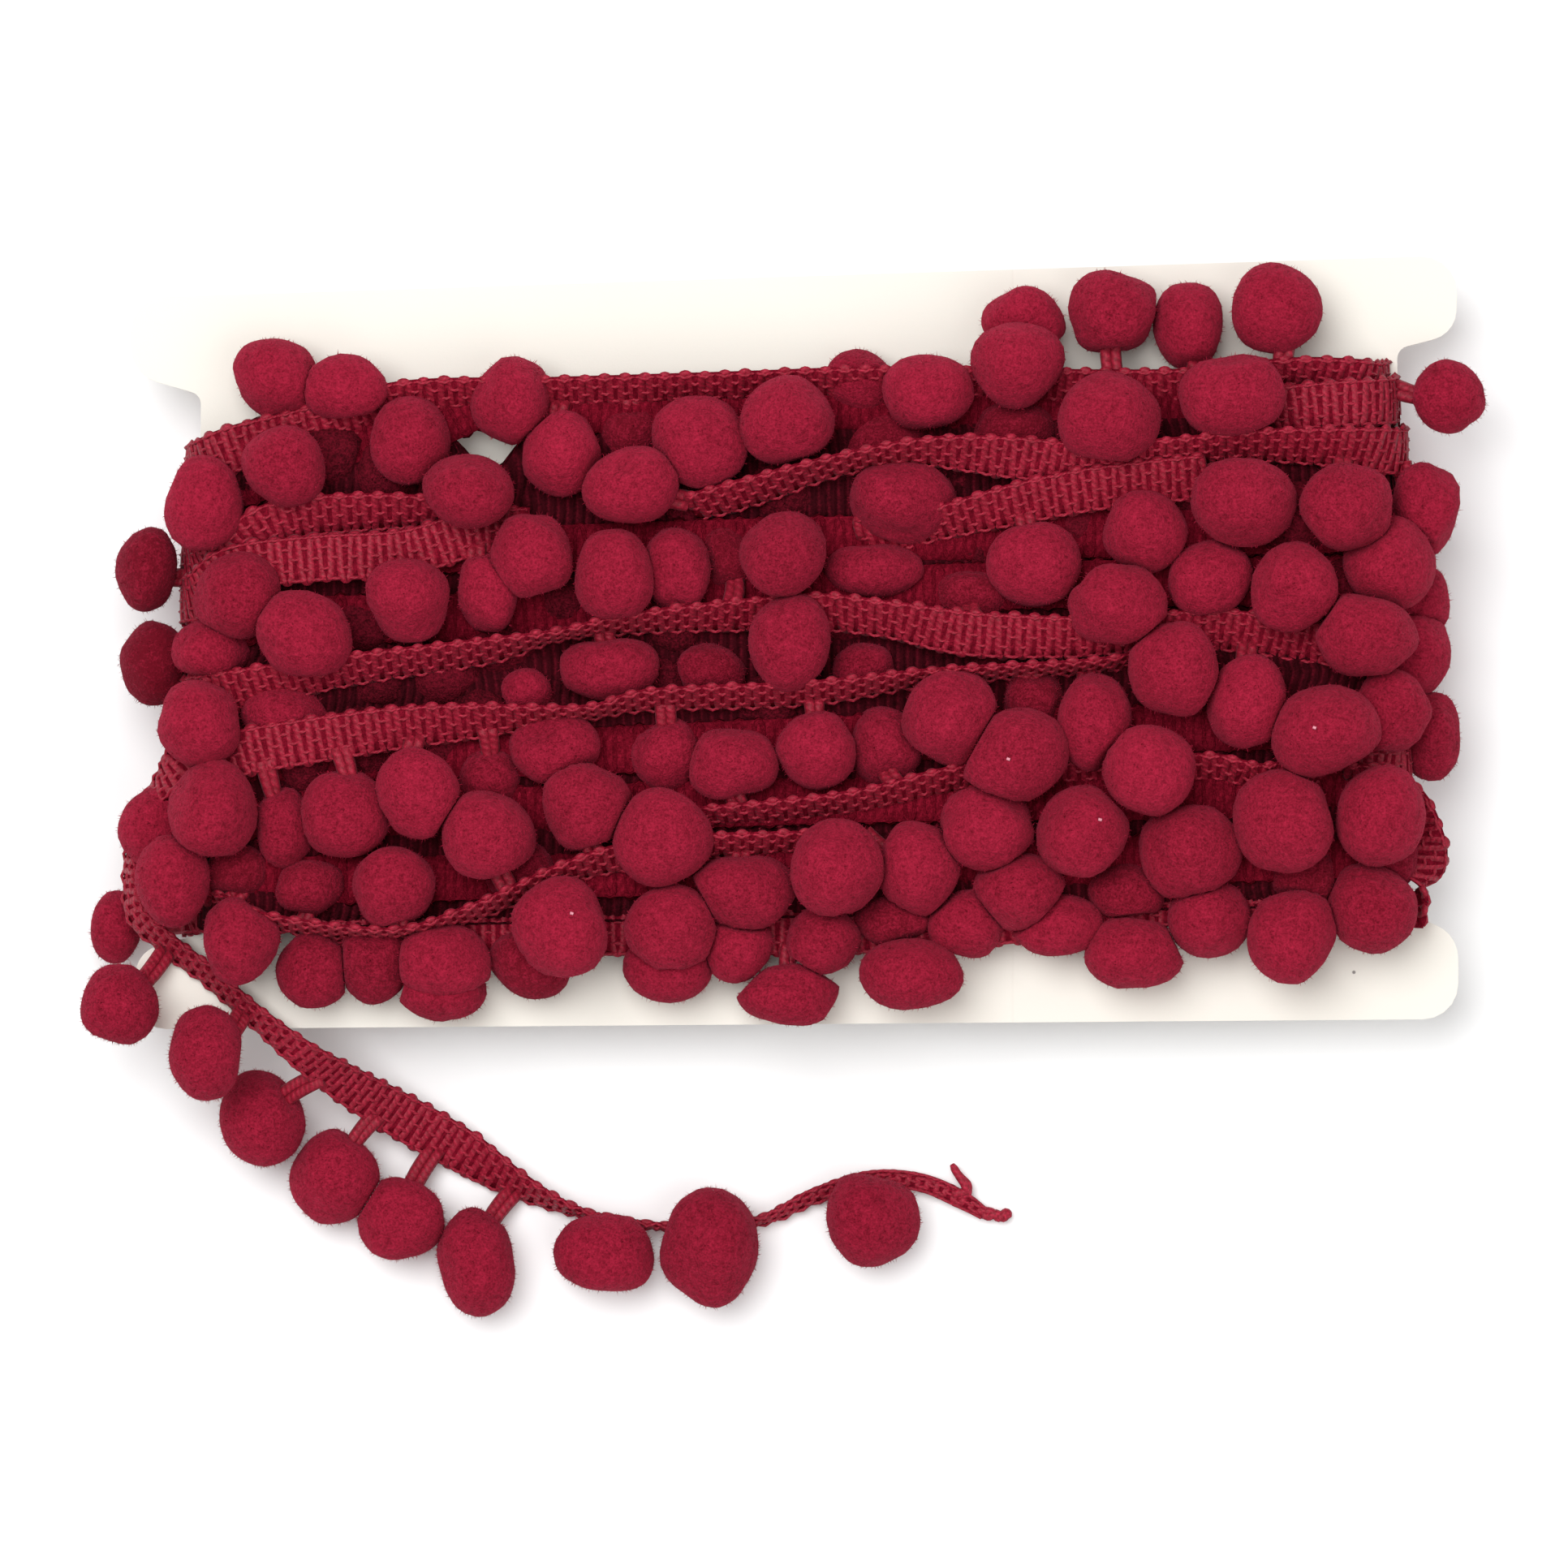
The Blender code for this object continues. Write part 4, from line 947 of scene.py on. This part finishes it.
def turnsShape(u):
    # A loop of turns round the card: a round-ended track in X and Z, carried from the bottom edge
    # to the top one, swelling once for each turn, with grooved edges where the layers end.
    around, steps, straightTo = u["around"], u["layerSteps"], u["straight"]
    layer = np.linspace(u["innermost"], 1.0, steps)
    across = np.linspace(0, 1, u["bands"] * u["bandSteps"])[1:-1]
    flat = np.zeros(len(across))
    depth = np.concatenate([layer, flat + 1, layer[::-1]])
    share = np.concatenate([np.zeros(steps), across, np.ones(steps)])
    ridge = np.abs(np.sin(layer * math.pi * u["layers"])) * u["edgeRelief"]
    groove = np.concatenate([-ridge, flat, ridge[::-1]])
    rowY = np.interp(share, [0, 1], [np.mean(u["bottom"]), u["top"][1]])
    left = np.interp(rowY, ends["y"], ends["left"]) + (1 - depth) * u["drawnIn"]
    right = np.interp(rowY, ends["y"], ends["right"]) - (1 - depth) * u["drawnIn"]
    swell = np.abs(np.sin(share * math.pi * u["bands"])) ** 0.6 - 1
    high = (u["halfThick"] * depth + swell * u["relief"] * (depth >= 1))[:, None]
    # Once round the track, a runs from 0 to 4: along the front, round, along the back and round.
    a = np.arange(around) / around * 4
    straight = np.clip(np.where(a < 2, a / straightTo, 1 - (a - 2) / straightTo), 0, 1)
    turned = np.interp(a, [0, straightTo, 2, straightTo + 2, 4], [0, 0, 1, 1, 2]) * math.pi
    low, far = (left + high[:, 0])[:, None], (right - high[:, 0])[:, None]
    x = low + (far - low) * straight + np.sin(turned) * high
    z = u["middleZ"] + np.cos(turned) * high
    spot = np.clip((x - ends["left"][2]) / (ends["right"][2] - ends["left"][2]), 0, 1)
    bottom = u["bottom"][0] + (u["bottom"][1] - u["bottom"][0]) * spot
    top = u["top"][0] + (u["top"][1] - u["top"][0]) * spot
    for dipX, deep, wide in u["dips"]:
        top = top - deep * np.exp(-((x - dipX) / wide) ** 2) * (z > u["dipsAbove"])
    y = bottom + (top - bottom) * share[:, None] + groove[:, None]
    points = np.stack([x, y, z], -1)
    quads, places = gridQuads(len(share), around, True)
    quads = quads[:, ::-1]
    places = places[:, ::-1, ::-1] * (u["yarns"] / around, 1.0)
    # Both edges are closed by quads, each from a step along the front to the like step behind.
    pair = int(around * (straightTo + 2) / 4)
    k = np.arange(-((around - pair) // 2), (pair - 3) // 2 + 1)
    cap = np.stack([k, k + 1, pair - 1 - k, pair - k], -1) % around
    caps = np.vstack([cap, cap[:, ::-1] + (len(share) - 1) * around])
    return {
        "points": points.reshape(-1, 3) * mm,
        "faces": [quads, caps],
        "uvs": [places, np.zeros((len(caps), 4, 2))],
        "tone": np.full(len(share) * around, 0.45),
    }


buried = {
    "placed": ((-89, 64, 27.5, 16, 15), (-79, 61, 27, 15, 16), (-100, 66, 27, 15, 13)),
    "tries": 900, "spans": ((-112, 118), (-24, 74), (27, 30.5), (15, 17)),  # of x, y, z and size
    "inside": 4, "gap": (-57, 67, 13),  # in from the top edge, and clear of the gap there: x, y, how far
    "apart": 9.8, "under": 2.5, "lowest": 18,
}


def buriedPoms(front, routes, u, b):
    # Pompoms of the turns below, seen in the gaps: random places clear of those in front, each low
    # enough to pass under the braids over it, and none where a braid goes down round an end.
    centres = np.vstack([route["centre"] for route in routes])
    kept = [tuple(row[:2]) for row in front]
    made = list(b["placed"])
    tries = np.stack([rng.uniform(low, high, b["tries"]) for low, high in b["spans"]], 1)
    gapX, gapY, gapWide = b["gap"]
    for x, y, z, size in tries:
        top = u["top"][0] + (u["top"][1] - u["top"][0]) * (x - back["left"]) / back["length"] - b["inside"]
        if y > top or math.hypot(x - gapX, y - gapY) < gapWide:
            continue
        if min(math.hypot(x - otherX, y - otherY) for otherX, otherY in kept) > b["apart"]:
            kept.append((x, y))
            over = centres[np.hypot(centres[:, 0] - x, centres[:, 1] - y) < size / 2 + b["under"]]
            if len(over):
                z = min(z, over[:, 2].min() - b["under"] - size / 2)
            tall = size * rng.uniform(0.85, 1.0)
            if z > b["lowest"]:
                made.append((x, y, z, size, tall))
    return made


# Braid of the turns below, seen in the gaps: x, y, z and roll.
lowTurns = (((-111, -19, 31.6, 20), (-50, -18, 32.4, -20), (20, -16, 32.6, 20), (112, -14, 31.6, -20)),
            ((-111, -6, 31.6, -15), (-50, -5, 32.4, 15), (20, -3, 32.6, -15), (116, -2, 31.6, 15)),
            ((-111, 5, 31.6, 10), (-50, 6, 32.4, -10), (20, 9, 32.6, 10), (118, 12, 31.6, -10)),
            ((-111, 32, 31.6, -10), (-50, 33, 32.4, 10), (20, 38, 32.6, -10), (118, 40, 31.6, 10)),
            ((-111, 46, 31.6, 15), (-50, 46, 32.4, -15), (20, 48, 32.6, 15), (118, 50, 31.6, -15)),
            ((-111, 57, 30.5, -20), (-86, 65, 31.0, 0), (-68, 70.5, 31.4, 0), (-56, 74.5, 31.6, 10),
             (-30, 73, 31.6, 0), (20, 74, 31.6, 0), (80, 73, 31.6, 10), (112, 72, 31.0, 0)))

frontPoms = [row for turn in windings for row in turn["poms"]]
frontRoutes = [routeOf(wrapped(turn["braid"]) if turn.get("wrap", True) else turn["braid"], 1.0)
               for turn in windings]
lowRoutes = [routeOf(stations, 2.0) for stations in lowTurns]
backPoms, backStations = backLayout(back)
backRoutes = [routeOf(stations, 2.0) for stations in backStations]
looseRoute = routeOf(looseEnd["braid"], 0.8, upright=True)

newPiece("turnsUnderneath", turnsShape(turns), turnsYarn, "wound_trim")
lowPoms = buriedPoms(frontPoms, frontRoutes, turns, buried)
print("pompoms in the gaps:", len(lowPoms))

place, reached = tiesOf(frontPoms, frontRoutes, stem["reach"])
middles = np.array(frontPoms, float)[:, :3]
ties = np.where(reached[:, None], place - middles, rng.normal(size=middles.shape) - [0, 0, 1.5])
for i, row in enumerate(frontPoms):
    ties[i] = faced.get(row[:2], ties[i])
lowTies = rng.normal(size=(len(lowPoms), 3))
front = pomSet(frontPoms + lowPoms, np.vstack([ties, lowTies]), 0.5)
front["tone"][:len(frontPoms)] -= [inShade.get(row[:2], 0) for row in frontPoms]
# Painted shade: the pompoms in the gaps get a lower tone, so they are darker.
front["tone"][len(frontPoms):] -= 0.2  # darker in the gaps
isFront = np.arange(len(front["tone"])) < len(frontPoms)
onLeft = front["centre"][:, 0] < 0
newPiece("pompomsFront", pomShape(front, *pom["frontGrid"], isFront), pomWool, "wound_trim")
newPiece("pompomsBelow", pomShape(front, *pom["lowGrid"], ~isFront), lowShadeWool, "wound_trim")
fuzzSets = (("fuzzLeft", isFront & onLeft, "frontFibres", fuzzWool),
            ("fuzzRight", isFront & ~onLeft, "frontFibres", fuzzWool),
            ("fuzzBelow", ~isFront, "lowFibres", lowShadeWool))
for name, picked, count, wool in fuzzSets:
    newPiece(name, fuzzShape(front, pom[count], picked), wool, "wound_trim", smooth=False)
newPiece("stems", stemShape(frontPoms, place, reached), braidYarn, "wound_trim")
newPiece("lint", lintShape(front, lint), lintYarn, "wound_trim")

allRoutes = frontRoutes + lowRoutes + backRoutes
allTape = newPiece("braidThreads", joined([tape(r) for r in allRoutes]), tapeYarn, "wound_trim")
crossings = newPiece("braidYarn", joined([crossingYarn(r, 12, 5) for r in frontRoutes]),
                     braidYarn, "wound_trim")
stitches = newPiece("braidStitches", joined([lengthwiseThreads(r, 4) for r in frontRoutes]),
                    braidYarn, "wound_trim")
# Painted shade: the braid below gets the darker thread colours and a low tone.
lowYarn = newPiece("braidYarnBelow", joined([crossingYarn(r, 8, 4, 0.2) for r in lowRoutes]),
                   tapeYarn, "wound_trim")
backYarn = newPiece("braidYarnBack", joined([crossingYarn(r, 6, 4) for r in backRoutes]),
                    braidYarn, "wound_trim")

backPlace, backReached = tiesOf(backPoms, backRoutes, stem["reach"])
backTies = backPlace - np.array(backPoms)[:, :3]
backSet = pomSet(backPoms, backTies, 0.5)
newPiece("pompomsBack", pomShape(backSet, *pom["lowGrid"]), pomWool, "wound_trim")
newPiece("fuzzBack", fuzzShape(backSet, pom["backFibres"]), fuzzWool, "wound_trim", smooth=False)
print("wound trim built")

loosePlace, looseReached = tiesOf(looseEnd["poms"], [looseRoute], stem["looseReach"])
looseSet = pomSet(looseEnd["poms"], loosePlace - np.array(looseEnd["poms"])[:, :3], 0.5)
looseTape = newPiece("looseThreads", tape(looseRoute), tapeYarn, "loose_end")
looseYarn = newPiece("looseYarn", crossingYarn(looseRoute, 14, 6), braidYarn, "loose_end")
looseStitches = newPiece("looseStitches", lengthwiseThreads(looseRoute, 5), braidYarn, "loose_end")
newPiece("loosePompoms", pomShape(looseSet, *pom["looseGrid"]), pomWool, "loose_end")
newPiece("looseFuzz", fuzzShape(looseSet, pom["looseFibres"]), fuzzWool, "loose_end", smooth=False)
looseStemShape = stemShape(looseEnd["poms"], loosePlace, looseReached)
newPiece("looseStems", looseStemShape, braidYarn, "loose_end")
frayedEnds = frayedShape(looseEnd["frayed"], looseEnd["frayedThick"])
newPiece("frayedYarns", frayedEnds, braidYarn, "loose_end")
print("loose end built")


studio = {
    "floor": (0.95, 0.95, 0.95, 1.0), "floorHalf": 2.5, "floorZ": -0.0002,
    "keyPlace": (-0.38, 0.40, 1.60), "keySize": 1.2, "keyPower": 23.5,
    "fillPlace": (0.7, -0.5, 1.5), "fillSize": 1.4, "fillPower": 6.5,
    "sky": (1.0, 1.0, 1.0, 1.0), "skyPower": 0.53,
}


def addAreaLight(name, where, size, power):
    # A round lamp that faces the middle: tilted by its angle from straight up, then turned about Z.
    data = bpy.data.lights.new(name, "AREA")
    data.shape = "DISK"
    data.size = size
    data.energy = power
    lamp = bpy.data.objects.new(name, data)
    lamp.location = where
    direction = np.array(where)
    tilt = math.acos(direction[2] / np.linalg.norm(direction))
    lamp.rotation_euler = (0.0, tilt, math.atan2(direction[1], direction[0]))
    bpy.context.scene.collection.objects.link(lamp)


def addFloor(s):
    # A level sheet just under the whole: a grid of points, all at one height.
    line = np.linspace(-s["floorHalf"], s["floorHalf"], 5)
    x, y = np.meshgrid(line, line)
    points = np.stack([x, y, np.full_like(x, s["floorZ"])], -1).reshape(-1, 3)
    quads, _ = gridQuads(5, 5, False)
    mesh = bpy.data.meshes.new("tableTop")
    mesh.from_pydata(points, [], quads)
    material = bpy.data.materials.new("table top")
    material.use_nodes = True
    shader = material.node_tree.nodes["Principled BSDF"]
    shader.inputs["Base Color"].default_value = s["floor"]
    shader.inputs["Roughness"].default_value = 0.9
    mesh.materials.append(material)
    floor = bpy.data.objects.new("tableTop", mesh)
    bpy.context.scene.collection.objects.link(floor)


addFloor(studio)
addAreaLight("key", studio["keyPlace"], studio["keySize"], studio["keyPower"])
addAreaLight("fill", studio["fillPlace"], studio["fillSize"], studio["fillPower"])
world = bpy.data.worlds.new("studio")
bpy.context.scene.world = world
world.use_nodes = True
world.node_tree.nodes["Background"].inputs["Color"].default_value = studio["sky"]
world.node_tree.nodes["Background"].inputs["Strength"].default_value = studio["skyPower"]
bpy.context.scene.view_settings.view_transform = "Standard"
print("table and light set")
